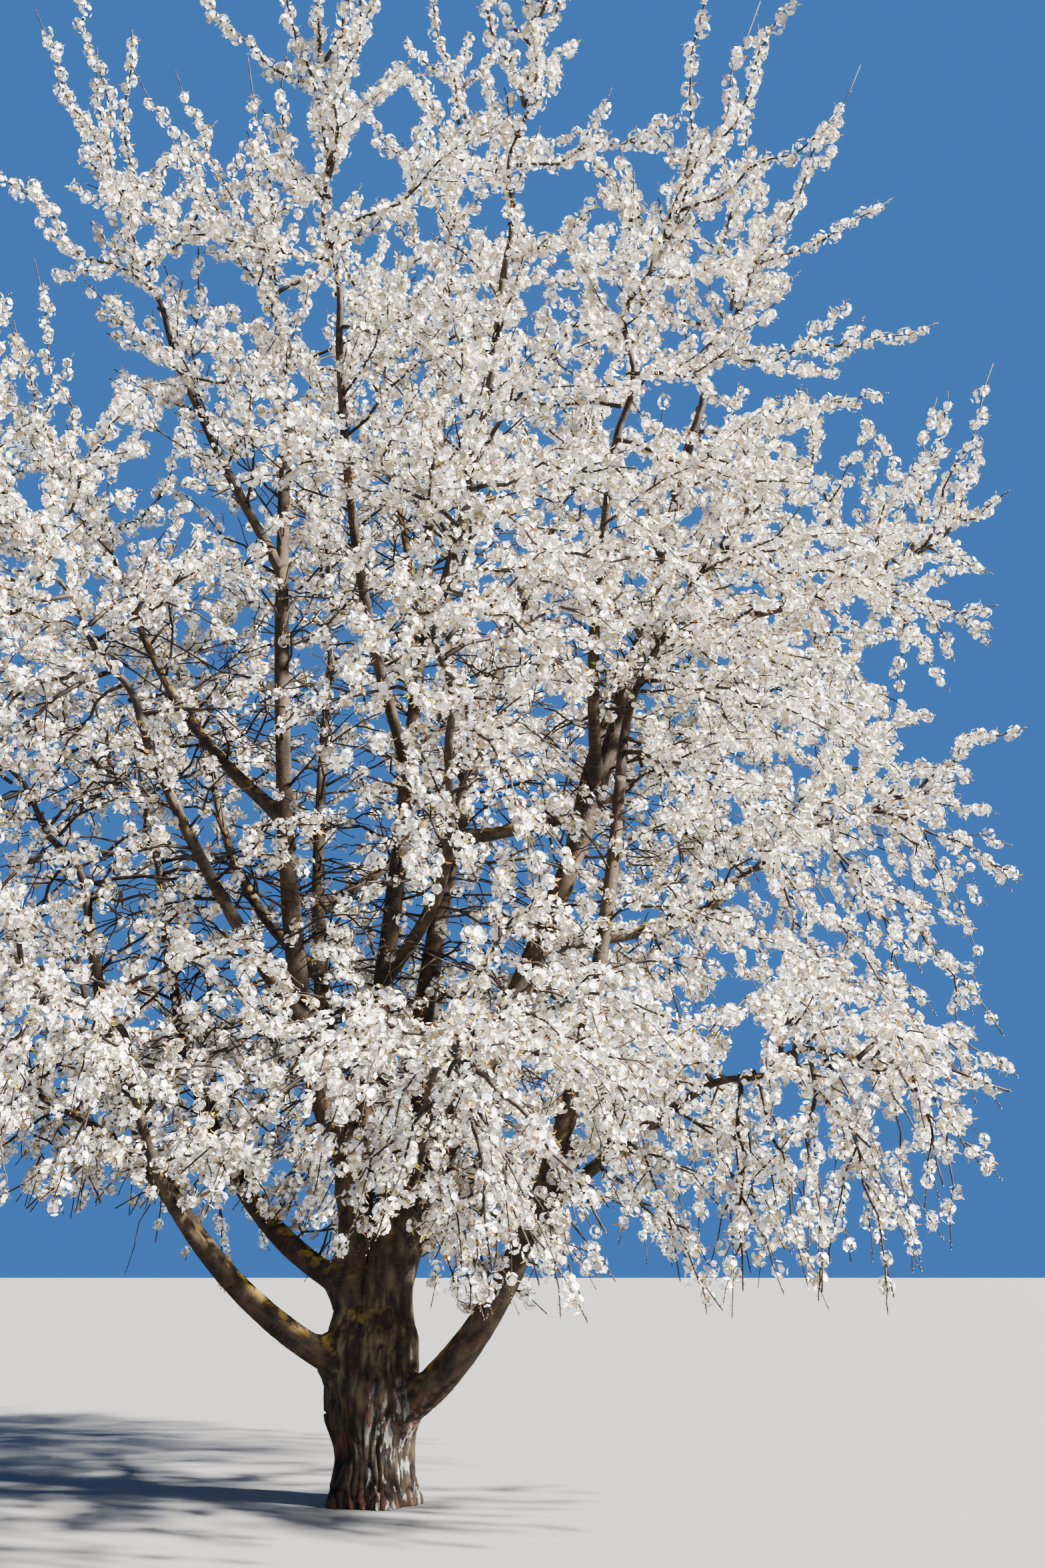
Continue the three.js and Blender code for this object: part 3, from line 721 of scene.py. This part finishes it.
class Twigs:
    """Many twigs at once. At t from 0 to 1 a twig has gone its run times t and its bend times t
    squared from its root. Each also has a length, radii, a seed, the mass that it belongs to and the
    lengths of it, at foot and end, that are without blossom."""

    def __init__(self, **arrays):
        self.__dict__.update(arrays)

    def at(self, t):
        t = np.asarray(t, float)[..., None]
        return self.root + self.run * t + self.bend * t * t

    def heading(self, t):
        t = np.asarray(t, float)[..., None]
        return unit(self.run + 2 * self.bend * t)

    def drawn(self, t):
        """The twig's own line: its path with a little wander, which is nothing at both ends."""
        across = square_to(self.heading(0.5))
        third = np.cross(self.heading(0.5), across)
        ease = np.sin(np.pi * t) * self.length
        wave = WAVE * ease * np.sin(np.pi * t * (2 + 2 * chance(self.seed, 3)))
        sway = SWAY * ease * np.sin(np.pi * t * (3 + 3 * chance(self.seed, 4)))
        return self.at(t) + across * wave[..., None] + third * sway[..., None]

    def picked(self, which):
        return Twigs(**{name: array[which] for name, array in self.__dict__.items()})


def joined(*groups):
    """Several groups of twigs as one."""
    names = groups[0].__dict__
    return Twigs(**{name: np.concatenate([getattr(group, name) for group in groups]) for name in names})


tips = np.array([limbs[name][0](1.0) for name in limb_names])
onward = np.array([heading(limbs[name][0], 1.0) for name in limb_names])
aim = unit(onward + unit(tips - (0, 0, HEART_HEIGHT)))
reach = np.full(len(LIMBS), STEM_REACH[0])
for _ in range(round((STEM_REACH[1] - STEM_REACH[0]) / STEM_REACH[2])):
    grows = depth_in_crown(tips + aim * reach[:, None]) > STEM_SKIN
    reach = np.where(grows, reach + STEM_REACH[2], reach)
centres = tips + aim * reach[:, None] / 2
tip_heights = np.array([row[3][2] for row in LIMBS])
mass_lift = np.clip((tip_heights - LIFT_LEVEL) / LIFT_WITHIN, *LIFT_RANGE)
stems = Twigs(
    root=tips + onward * SEAM, run=onward * reach[:, None], bend=(aim - onward) * reach[:, None],
    length=reach, thick=np.array([row[4][1] for row in LIMBS]), thin=np.full(len(LIMBS), 0.006),
    seed=31 * np.arange(1, len(LIMBS) + 1), mass=np.arange(len(LIMBS)),
    bare=0.2 * reach, tail=np.full(len(LIMBS), 0.02),
)
lengths_of_wood = []
for path, radii, _, _ in list(limbs.values())[1:]:
    ends = path(np.linspace(0, 1, WOOD_STEPS + 1))
    thickness = between(radii, np.arange(WOOD_STEPS) / WOOD_STEPS)
    lengths_of_wood += list(zip(ends[:-1], ends[1:], thickness))


def clear_of_wood(points, room):
    """Whether points keep off the limbs: their distance to every straight length of limb is more than
    its radius and the room asked for."""
    clear = np.ones(points.shape[:-1], bool)
    for start, end, thickness in lengths_of_wood:
        line = end - start
        share = np.clip((points - start) @ line / (line @ line), 0, 1)
        gap = np.linalg.norm(points - start - share[..., None] * line, axis=-1)
        clear &= gap > thickness + room
    return clear


def in_own_space(points, mass, radius, overlap, skin_depth):
    """Whether balls stay off the ground, higher on the left, where the fork lies open, deep enough
    inside the crown's egg and its box, and nearer to their own mass's middle than to any other, give
    or take the overlap."""
    own = ((points - centres[mass]) ** 2).sum(-1)
    open_side = (points[..., 0] < OPEN_SIDE[0]) & (points[..., 1] < OPEN_SIDE[1])
    open_height = between(OPEN_HEIGHT, np.clip((points[..., 0] - OPEN_FROM) / OPEN_WITHIN, 0, 1))
    floor_here = np.where(open_side, open_height, CROWN_FLOOR)
    fits = (points[..., 2] - radius > floor_here) & (depth_in_crown(points) > skin_depth)
    fits &= (points > CROWN_BOX[0]).all(-1) & (points < CROWN_BOX[1]).all(-1)
    for other in range(len(centres)):
        apart = 2 * np.linalg.norm(centres[other] - centres[mass], axis=-1)
        to_border = (((points - centres[other]) ** 2).sum(-1) - own) / np.maximum(apart, 1e-9)
        fits &= (to_border > radius + 0.012 - overlap) | (mass == other)
    return fits


def grown(root, forward, turn, spread, wished, radii, seed, mass, bare, tail,
          overlap=0.0, skin_depth=0.0, droop=1.0, hang=HANG, first=0.2, room=0.045):
    """New twigs from roots on a parent: each direction is forward times the cosine of its spread and
    across times the sine, with across turned about forward. The first of four lengths that keeps to
    the crown's space and off the limbs is taken, and a twig that fits at none is left out. Low twigs
    hang, most of all on the sunny side."""
    spread = np.radians(spread)[:, None]
    direction = forward * np.cos(spread) + turned_across(forward, turn) * np.sin(spread)
    lift = np.where(mass_lift[mass] < 0, mass_lift[mass] * droop, mass_lift[mass])
    lift = lift - hang * (1 - topness(root)) * between(SUNNY_HANG, sunniness(root))
    length = np.zeros(len(root))
    t = np.arange(first, 1.01, 0.1)[:, None, None]
    skin_depth = np.broadcast_to(skin_depth, len(root))
    for share in SHORTER_TRIES:
        left = np.flatnonzero(length == 0)
        tried = (wished * share)[left]
        points = root[left] + direction[left] * tried[:, None] * t
        points[..., 2] += lift[left] * tried * t[..., 0] ** 2
        fits = in_own_space(points, mass[left], 0.02, overlap, skin_depth[left])
        fits = (fits & clear_of_wood(points, room)).all(axis=0)
        length[left[fits]] = tried[fits]
    made = Twigs(
        root=root, run=direction * length[:, None], bend=(lift * length)[:, None] * (0, 0, 1),
        length=length, thick=np.full(len(root), radii[0]), thin=np.full(len(root), radii[1]),
        seed=seed, mass=mass, bare=np.full(len(root), bare), tail=tail * (0.4 + 1.2 * chance(seed, 12)),
    )
    return made.picked(length > 0)


# A second set of shoots starts halfway between the first, but not in the masses near the top.
nth = np.arange(SHOOTS_PER_MASS)
nth = np.tile(np.concatenate([nth, nth + 0.5]), len(LIMBS))
mass = np.repeat(np.arange(len(LIMBS)), 2 * SHOOTS_PER_MASS)
grows = (nth % 1 == 0) | (centres[mass, 2] < TOP_CENTRE)
nth, mass = nth[grows], mass[grows]
of = stems.picked(mass)
place = between(SHOOT_PLACES, nth / (SHOOTS_PER_MASS - 1))
seed = of.seed + np.floor(nth).astype(int) + 1 + 400 * (nth % 1 > 0)
shoots = grown(
    of.at(place), of.heading(place), GOLDEN_ANGLE * nth + 60 * chance(of.seed, nth + 20),
    between(SHOOT_SPREAD, place), SHOOT_LENGTH * (1 - 0.4 * place) * varied(of.seed, nth + 40),
    SHOOT_RADII, seed, of.mass, bare=0.10, tail=0.05, overlap=0.40, droop=1.3,
    skin_depth=np.maximum(chance(seed, 15) - 0.4, 0) * between((0.10, 0.24), topness(centres[mass])),
)

# The risers: long shoots with blossom and no side twigs, which stand free above the crown's top and
# lean a little outwards. Three grow on the stem of each upper mass.
RISERS_PER_MASS = 3
RISER_MASSES_FROM = 6.0
RISER_PLACES = (0.42, 0.92)
RISER_LEAN = 0.55
RISER_SPREAD = (6, 30)
RISER_LENGTH = 2.0
RISER_RADII = (0.015, 0.0045)

upper_masses = np.flatnonzero(tips[:, 2] > RISER_MASSES_FROM)
which, nth = counted_off(np.full(len(upper_masses), RISERS_PER_MASS))
of = stems.picked(upper_masses[which])
place = between(RISER_PLACES, (nth + chance(of.seed, nth + 70)) / RISERS_PER_MASS)
root = of.at(place)
rising = unit(unit(root * (1, 1, 0)) * RISER_LEAN + (0, 0, 1))
risers = grown(
    root, rising, GOLDEN_ANGLE * nth + 90 * chance(of.seed, nth + 60),
    between(RISER_SPREAD, chance(of.seed, nth + 50)), RISER_LENGTH * varied(of.seed, nth + 80),
    RISER_RADII, of.seed + 700 + nth, of.mass,
    bare=0.10, tail=0.14, overlap=1.5, skin_depth=-0.12, hang=0, room=0.03,
)

# Shoots and short spurs along the outer part of every limb, by the same rule, fill the crown's
# inside and clothe the boughs. At the feet of the leaders thin shoots hang over the fork.
LIMB_SHOOTS = {"spacing": 0.13, "start": 0.28, "length": 1.05, "bare": 0.12, "radii": (0.013, 0.0045)}
LIMB_SPURS = {
    "spacing": 0.075, "start": 0.26, "length": 0.24, "bare": 0.05, "radii": (0.006, 0.004),
    "first": 0.5, "room": 0.01,
}
FORK_SHOOTS = {
    "spacing": 0.10, "start": 0.03, "length": 0.85, "bare": 0.12, "radii": (0.010, 0.0035),
    "end": 0.30, "hang": 0.60, "first": 0.35, "room": 0.03,
}


def along_limbs(names, first_seed, spacing, start, length, bare, radii, end=0.98, **growth):
    """Shoots on the limbs named, from a share of each outwards, one spacing apart, each given to the
    mass whose middle is nearest."""
    groups = []
    for index, name in enumerate(names):
        path, limb_radii, limb_length, _ = limbs[name]
        place = np.arange(start, end, spacing / limb_length)
        nth = np.arange(len(place))
        seed = np.full(len(place), 31 * (index + 1) + first_seed)
        root = path(place)
        mass = ((root[:, None] - centres) ** 2).sum(-1).argmin(1)
        groups.append(grown(
            root, heading(path, place), GOLDEN_ANGLE * nth + 60 * chance(seed, nth), 82 - 34 * place,
            between(limb_radii, place) + length * (0.6 + 0.6 * chance(seed, nth + 40)),
            radii, seed + nth, mass, bare=bare, tail=0.04, overlap=1.2, skin_depth=0.08, **growth,
        ))
    return joined(*groups)


spurs = along_limbs(limb_names, 5000, **LIMB_SPURS)
limb_shoots = joined(
    along_limbs(limb_names, 900, **LIMB_SHOOTS),
    along_limbs(leader_names, 9000, **FORK_SHOOTS),
)

# The twigs: the thinnest wood, on the shoots, the stems of the masses and the limbs' own shoots. Each
# row: their spacing, the shares of the parent between which they grow, their spreads at its foot and
# end, the longest, their radius at the foot, their overlap, and what is bare there.
TWIG_PLANS = [
    (0.27, (0.10, 0.92), (54, 30), 0.80, 0.0088, 0.45, 0.04),
    (0.21, (0.25, 0.98), (60, 24), 0.95, 0.0095, 0.45, 0.05),
    (0.36, (0.10, 0.92), (54, 30), 0.55, 0.0078, 0.9, 0.05),
]
TWIG_TIP = 0.0032
TWIG_THINNING = (0.82, 1.42)
TWIG_SKIN = (0.05, 0.16)
FULL_PARENT = 0.9


def offshoots(parents, spacing, places, spreads, longest, thick, overlap, bare):
    """Twigs on twigs: each parent has as many as its length holds spacings, placed evenly between
    two shares of it, turned by the golden angle, and wider and longer at its foot than at its end.
    Towards the top of the crown they are shorter and keep deeper, so that the shoots stand free, and
    on the sunny side there are more of them and they are longer."""
    thinning = between(TWIG_THINNING, topness(parents.root))
    spacing = spacing * thinning * (1 - 0.2 * sunniness(parents.root))
    count = np.maximum(1, np.round(parents.length / spacing)).astype(int)
    parent, nth = counted_off(count)
    place = between(places, (nth + chance(parents.seed[parent], nth)) / count[parent])
    of = parents.picked(parent)
    root = of.drawn(place)
    wished = longest * (1 - 0.6 * place) * (0.6 + 0.8 * chance(of.seed, nth + 40))
    wished *= np.minimum(1, of.length / FULL_PARENT)
    wished *= (1 - 0.35 * topness(root)) * (1 + 0.15 * sunniness(root))
    seed = of.seed * 7 + nth + 11
    return grown(
        root, of.heading(place), GOLDEN_ANGLE * nth + 60 * chance(of.seed, nth + 20),
        between(spreads, place), wished, (thick, TWIG_TIP), seed, of.mass, bare=bare, tail=0.035,
        overlap=overlap, skin_depth=between(TWIG_SKIN, topness(root)) + 0.04 * chance(seed, 14), droop=1.4,
    )


twig_parents = (shoots, stems, limb_shoots)
twigs = joined(*[offshoots(parents, *plan) for parents, plan in zip(twig_parents, TWIG_PLANS)])


def barked(name, groups):
    """A piece of wood from groups of twigs, each with the points and sides that a twig of it has."""
    shells = []
    for group, steps, sides in groups:
        t = np.linspace(0, 1, steps)[:, None]
        lines = group.drawn(np.broadcast_to(t, (steps, len(group.root)))).transpose(1, 0, 2)
        radii = between((group.thick[:, None], group.thin[:, None]), t[:, 0] ** 0.8)
        points, faces, _ = tubes(lines, radii, sides)
        shells.append((points, faces))
    made = skin(name, *gathered(shells), smooth=True)
    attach(made, "root")
    return made


all_shoots = [(stems, 18, 8), (shoots, 9, 4), (risers, 9, 4), (limb_shoots, 6, 4), (spurs, 3, 4)]
shoot_wood = barked("shoots", all_shoots)
twig_wood = barked("twigs", [(twigs, 6, 4)])
young_bark = Finish("young_cherry_bark")
spot = young_bark.node("ShaderNodeTexCoord", {}, output=3)
streaks = young_bark.node("ShaderNodeTexNoise", {"Vector": spot, "Scale": 22, "Detail": 3})
colour = young_bark.node(
    "ShaderNodeValToRGB", {"Fac": streaks},
    stops=[(0.3, (0.008, 0.006, 0.0045)), (0.5, (0.018, 0.012, 0.009)), (0.7, (0.048, 0.036, 0.024))],
)
young_bark.wear(shoot_wood, twig_wood, Base_Color=colour, Roughness=0.62, Specular_IOR_Level=0.15)

# The blossom: round bunches of white five-petalled flowers on short spurs, close enough along the
# shoots to sleeve them, in clumps low down and thin inside the crown. Petals are cupped, and every
# second bunch has a small brownish heart, partly its stalks and calyces and partly painted shade.
REGIONS = {
    "blossom_left_low": ("left_low_bough", "left_low_side", "left_low_front", "left_mid_back"),
    "blossom_left_middle": ("left_mid_bough", "left_front_mid", "left_high", "back_left_mid"),
    "blossom_right_low": ("right_low_bough", "right_low_side"),
    "blossom_right_middle": ("right_arching_bough", "right_long_bough", "back_right_mid"),
    "blossom_front": ("front_bough", "front_mid", "right_front_high"),
    "blossom_back": ("back_low_bough", "back_low_side", "back_mid"),
    "blossom_leaders": ("left_leader", "right_leader", "back_right_leader", "back_leader"),
    "blossom_top": ("centre_leader", "left_fork", "front_left_high", "front_high", "back_high"),
}
BUNCH_SPACING = 0.078
BUNCH_OFFSET = 0.026
BUNCH_RADIUS = 0.035
BUNCH_STRETCH = 0.3
HEART_RADIUS = 0.025
CLUMP_COUNT = 3
CLUMPING = 0.45
INSIDE_FROM = 0.30
FRONT_FILL = 0.10
LOSS_LIMITS = (0.03, 0.82)
SHADE_LOSS = 0.32
LOW_LOSS = 0.07
BUNCH_SAG = (0.012, 0.004)
TOP_CROWDING = 0.18
TOP_SWELL = 0.12
FLOWERS_PER_BUNCH = 9
FLOWER_RADIUS = 0.0202
FLOWER_TILT = 0.45
PETALS = 5
OPEN_PETAL = ((0.86, -31), (1.06, 0), (0.86, 31))
CLOSING_PETAL = ((0.95, -29), (1.02, 28))
# The third white is painted shade: a dark grey copy of the petal white, dealt out by chance to some of the
# flowers.
WHITES = {"fresh": (0.80, 0.79, 0.765), "cream": (0.68, 0.645, 0.52), "painted_shade": (0.36, 0.342, 0.325)}
WHITES_FROM = (0.45, 0.62)
# Partly stalks and calyces, partly painted shade inside the bunch.
HEART_AND_SHADE_COLOUR = (0.34, 0.28, 0.15)

# Where bunches sit: evenly along each twig's blooming length, then drawn towards the middle of their
# clump, and lost by chance, three at a time, inside the crown and on its low left side.
ropes = joined(stems, shoots, risers, limb_shoots, twigs, spurs)
bloom = np.maximum(ropes.length - ropes.bare - ropes.tail, 0.03)
wanted = bloom / BUNCH_SPACING * (1 + TOP_CROWDING * topness(ropes.root))
count = np.maximum(1, np.round(wanted)).astype(int)
rope, nth = counted_off(count)
of = ropes.picked(rope)
slot = nth + 0.2 + 0.6 * chance(of.seed, nth + 5)
clump = np.minimum(CLUMP_COUNT * (nth // CLUMP_COUNT + 0.5), count[rope] - 0.3)
slot += CLUMPING * (1 - topness(of.root)) * (clump - slot)
place = (of.bare + bloom[rope] * slot / count[rope]) / of.length
spot = of.at(place)
shade = SHADE_LOSS * sunniness(-spot) * (1 - topness(spot)) * (spot[:, 2] < TOP_FROM)
inside = depth_in_crown(spot) - INSIDE_FROM - FRONT_FILL * np.clip(-spot[:, 1], 0, 1)
share_lost = np.clip(inside * 2.2, *LOSS_LIMITS) + shade + LOW_LOSS * (1 - topness(spot))
luck = 0.5 * chance(of.seed + 3, nth // 3 + 9) + 0.5 * chance(of.seed + 3, nth + 90)
kept = luck > share_lost * 0.9
of, nth, place, spot = of.picked(kept), nth[kept], place[kept], spot[kept]
bunch_seed = of.seed * 13 + nth
bunch_size = (0.68 + 0.56 * chance(bunch_seed, 1)) * (1 - 0.14 * place) * (1 + TOP_SWELL * topness(spot))
forward = of.heading(place)
away = turned_across(forward, GOLDEN_ANGLE * nth + 70 * chance(bunch_seed, 2))
sag = np.where(mass_lift[of.mass] < 0, *BUNCH_SAG)[:, None] * (0, 0, 1)
bunches = of.drawn(place) + away * (BUNCH_OFFSET * bunch_size)[:, None] - sag

# Where flowers sit: by the golden angle over each bunch's ball, which is drawn out along the twig,
# each facing outwards with a tilt of its own, more or less cupped and of one of the three whites, the
# darkest of which is painted shade.
bunch, flower = counted_off(np.full(len(bunches), FLOWERS_PER_BUNCH))
seed = bunch_seed[bunch]
upright = 1 - (2 * flower + 0.3 + 1.4 * chance(seed, flower + 10)) / FLOWERS_PER_BUNCH
level = np.sqrt(1 - upright ** 2)
turn = np.radians(GOLDEN_ANGLE * flower + 360 * chance(seed, 11))
facing = forward[bunch] * upright[:, None] + away[bunch] * (level * np.cos(turn))[:, None]
facing += np.cross(forward, away)[bunch] * (level * np.sin(turn))[:, None]
stretched = facing + forward[bunch] * (BUNCH_STRETCH * upright)[:, None]
ball = BUNCH_RADIUS * bunch_size[bunch] * (0.88 + 0.26 * chance(seed, flower + 30))
centre = bunches[bunch] + stretched * ball[:, None]
tilt = np.stack([chance(seed, flower + first) for first in (40, 41, 42)], -1) - 0.5
facing = unit(facing + FLOWER_TILT * tilt)
size = FLOWER_RADIUS * (0.80 + 0.40 * chance(seed, flower + 50)) * (1 + TOP_SWELL * topness(centre))
cup = 0.05 + 0.4 * chance(seed, flower + 60)
spin = 2 * np.pi * chance(seed, flower + 70)
tint = 0.5 * chance(bunch_seed, 8)[bunch] + 0.5 * chance(seed, flower + 75)
white = np.searchsorted(WHITES_FROM, tint)


def flowers(which, petal):
    """Five-petalled flowers: a middle point, and for each petal the points of its outer edge. A
    point at radius r stands up by the cup times r squared, before size and turning. A petal is the
    fan of triangles from the middle to its outer edge."""
    edge = len(petal)
    radius = np.tile([out for out, _ in petal], PETALS)
    bearing = np.radians([360 / PETALS * step + turn for step in range(PETALS) for _, turn in petal])
    across = square_to(facing[which])[:, None]
    third = np.cross(facing[which][:, None], across)
    turned = (bearing + spin[which][:, None])[..., None]
    flat = across * np.cos(turned) + third * np.sin(turned)
    lifted = facing[which][:, None] * (cup[which][:, None] * radius ** 2)[..., None]
    points = np.concatenate([np.zeros((which.sum(), 1, 3)), flat * radius[:, None] + lifted], axis=1)
    points = centre[which][:, None] + size[which][:, None, None] * points
    first = 1 + edge * np.arange(PETALS)[:, None] + np.arange(edge - 1)
    fan = np.stack([np.zeros_like(first), first, first + 1], -1).reshape(-1, 3)
    faces = on_each(fan, len(points), points.shape[1])
    return points.reshape(-1, 3), faces, np.repeat(white[which], len(fan))


def hearts(which):
    """The filling of bunches, partly stalks and calyces and partly painted shade: an octahedron at each
    bunch's middle, drawn out along its twig.
    """
    axes = np.stack([forward[which] * 1.5, away[which], np.cross(forward, away)[which]], 1)
    corners = np.concatenate([axes, -axes], 1) * (HEART_RADIUS * bunch_size[which])[:, None, None]
    points = bunches[which][:, None] + corners
    sides = [(0, 1, 2), (1, 3, 2), (3, 4, 2), (4, 0, 2), (1, 0, 5), (3, 1, 5), (4, 3, 5), (0, 4, 5)]
    return points.reshape(-1, 3), on_each(sides, len(points), points.shape[1])


petal_finishes = []
for name, colour in WHITES.items():
    petals = Finish(f"petals_{name}")
    petals.wear(Base_Color=colour, Roughness=0.62, Specular_IOR_Level=0.2)
    petal_finishes.append(petals)
for region, members in REGIONS.items():
    ours = np.isin(of.mass, [limb_names.index(member) for member in members])[bunch]
    shells = [flowers(ours & (flower == 1), OPEN_PETAL), flowers(ours & (flower != 1), CLOSING_PETAL)]
    points, faces = gathered([shell[:2] for shell in shells])
    blossom = skin(region, points, faces, finish_of=np.concatenate([shell[2] for shell in shells]))
    for petals in petal_finishes:
        petals.wear(blossom)
    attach(blossom, "root")
    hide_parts(*[f"{member}_blossom" for member in members])
# The hearts' dark brown is partly the stalks and calyces and partly painted shade in the middle of each
# bunch.
calyces_and_shade = skin("calyces_and_shade", *hearts(nth % 2 == 0))
Finish("calyx_stalks_and_painted_shade").wear(calyces_and_shade, Base_Color=HEART_AND_SHADE_COLOUR, Roughness=0.7)
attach(calyces_and_shade, "root")

# Young leaves: two narrow bronze or olive leaves unfold from each bunch of flowers, folded along the
# middle and still half hidden by the petals.
LEAVES_PER_BUNCH = 2
LEAF_LENGTH = 0.039
LEAF_WIDTH = 0.42
LEAF_FOLD = 0.12
LEAF_FOOT = 0.032
LEAF_COLOURS = {"bronze": (0.30, 0.14, 0.03), "olive": (0.30, 0.25, 0.035)}

bunch, leaf = counted_off(np.full(len(bunches), LEAVES_PER_BUNCH))
seed = bunch_seed[bunch]
turn = 2 * np.pi * chance(seed, leaf + 80)
out = away[bunch] * np.cos(turn)[:, None] + np.cross(forward, away)[bunch] * np.sin(turn)[:, None]
out = unit(out + forward[bunch] * (0.2 + 0.8 * chance(seed, leaf + 82))[:, None])
side = unit(np.cross(out, forward[bunch]))
back = np.cross(side, out)
long = LEAF_LENGTH * (0.7 + 0.6 * chance(seed, leaf + 84))
foot = bunches[bunch] + out * LEAF_FOOT
outline = [(0, 0, 0), (0.5, -LEAF_WIDTH / 2, LEAF_FOLD), (1, 0, 0), (0.5, LEAF_WIDTH / 2, LEAF_FOLD)]
points = np.stack([foot + long[:, None] * (out * x + side * y + back * z) for x, y, z in outline], 1)
faces = on_each([(0, 1, 2), (0, 2, 3)], len(foot), len(outline))
leaf_tint = (chance(bunch_seed, 9) > 0.55).astype(int)[bunch]
leaves = skin("young_leaves", points.reshape(-1, 3), faces, finish_of=np.repeat(leaf_tint, 2))
for name, colour in LEAF_COLOURS.items():
    Finish(f"young_leaf_{name}").wear(leaves, Base_Color=colour, Roughness=0.45)
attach(leaves, "root")

# Buds: the bare end of every shoot carries a few pointed brown buds, the last one at its very tip.
# Each is a slim pyramid on a three-cornered foot.
BUDS_PER_END = 3
BUD_LENGTH = 0.013
BUD_RADIUS = 0.0048
BUD_SPLAY = 0.8
BUD_COLOUR = (0.115, 0.062, 0.038)

ended = joined(stems, shoots, risers, limb_shoots, twigs)
end, bud = counted_off(np.full(len(ended.root), BUDS_PER_END))
of = ended.picked(end)
place = 1 - of.tail / of.length * bud / BUDS_PER_END
forward = of.heading(place)
away = turned_across(forward, GOLDEN_ANGLE * bud)
point = unit(forward + away * np.where(bud == 0, 0, BUD_SPLAY)[:, None])
foot = of.drawn(place) + away * np.where(bud == 0, 0, of.thin)[:, None]
across = square_to(point)
third = np.cross(point, across)
ring = [across * np.cos(turn) + third * np.sin(turn) for turn in np.radians((0, 120, 240))]
corners = [foot + BUD_RADIUS * edge for edge in ring] + [foot + BUD_LENGTH * point]
faces = on_each([(3, 0, 1), (3, 1, 2), (3, 2, 0), (2, 1, 0)], len(foot), len(corners))
buds = skin("buds", np.stack(corners, 1).reshape(-1, 3), faces, smooth=True)
Finish("bud_scales").wear(buds, Base_Color=BUD_COLOUR, Roughness=0.5)
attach(buds, "root")
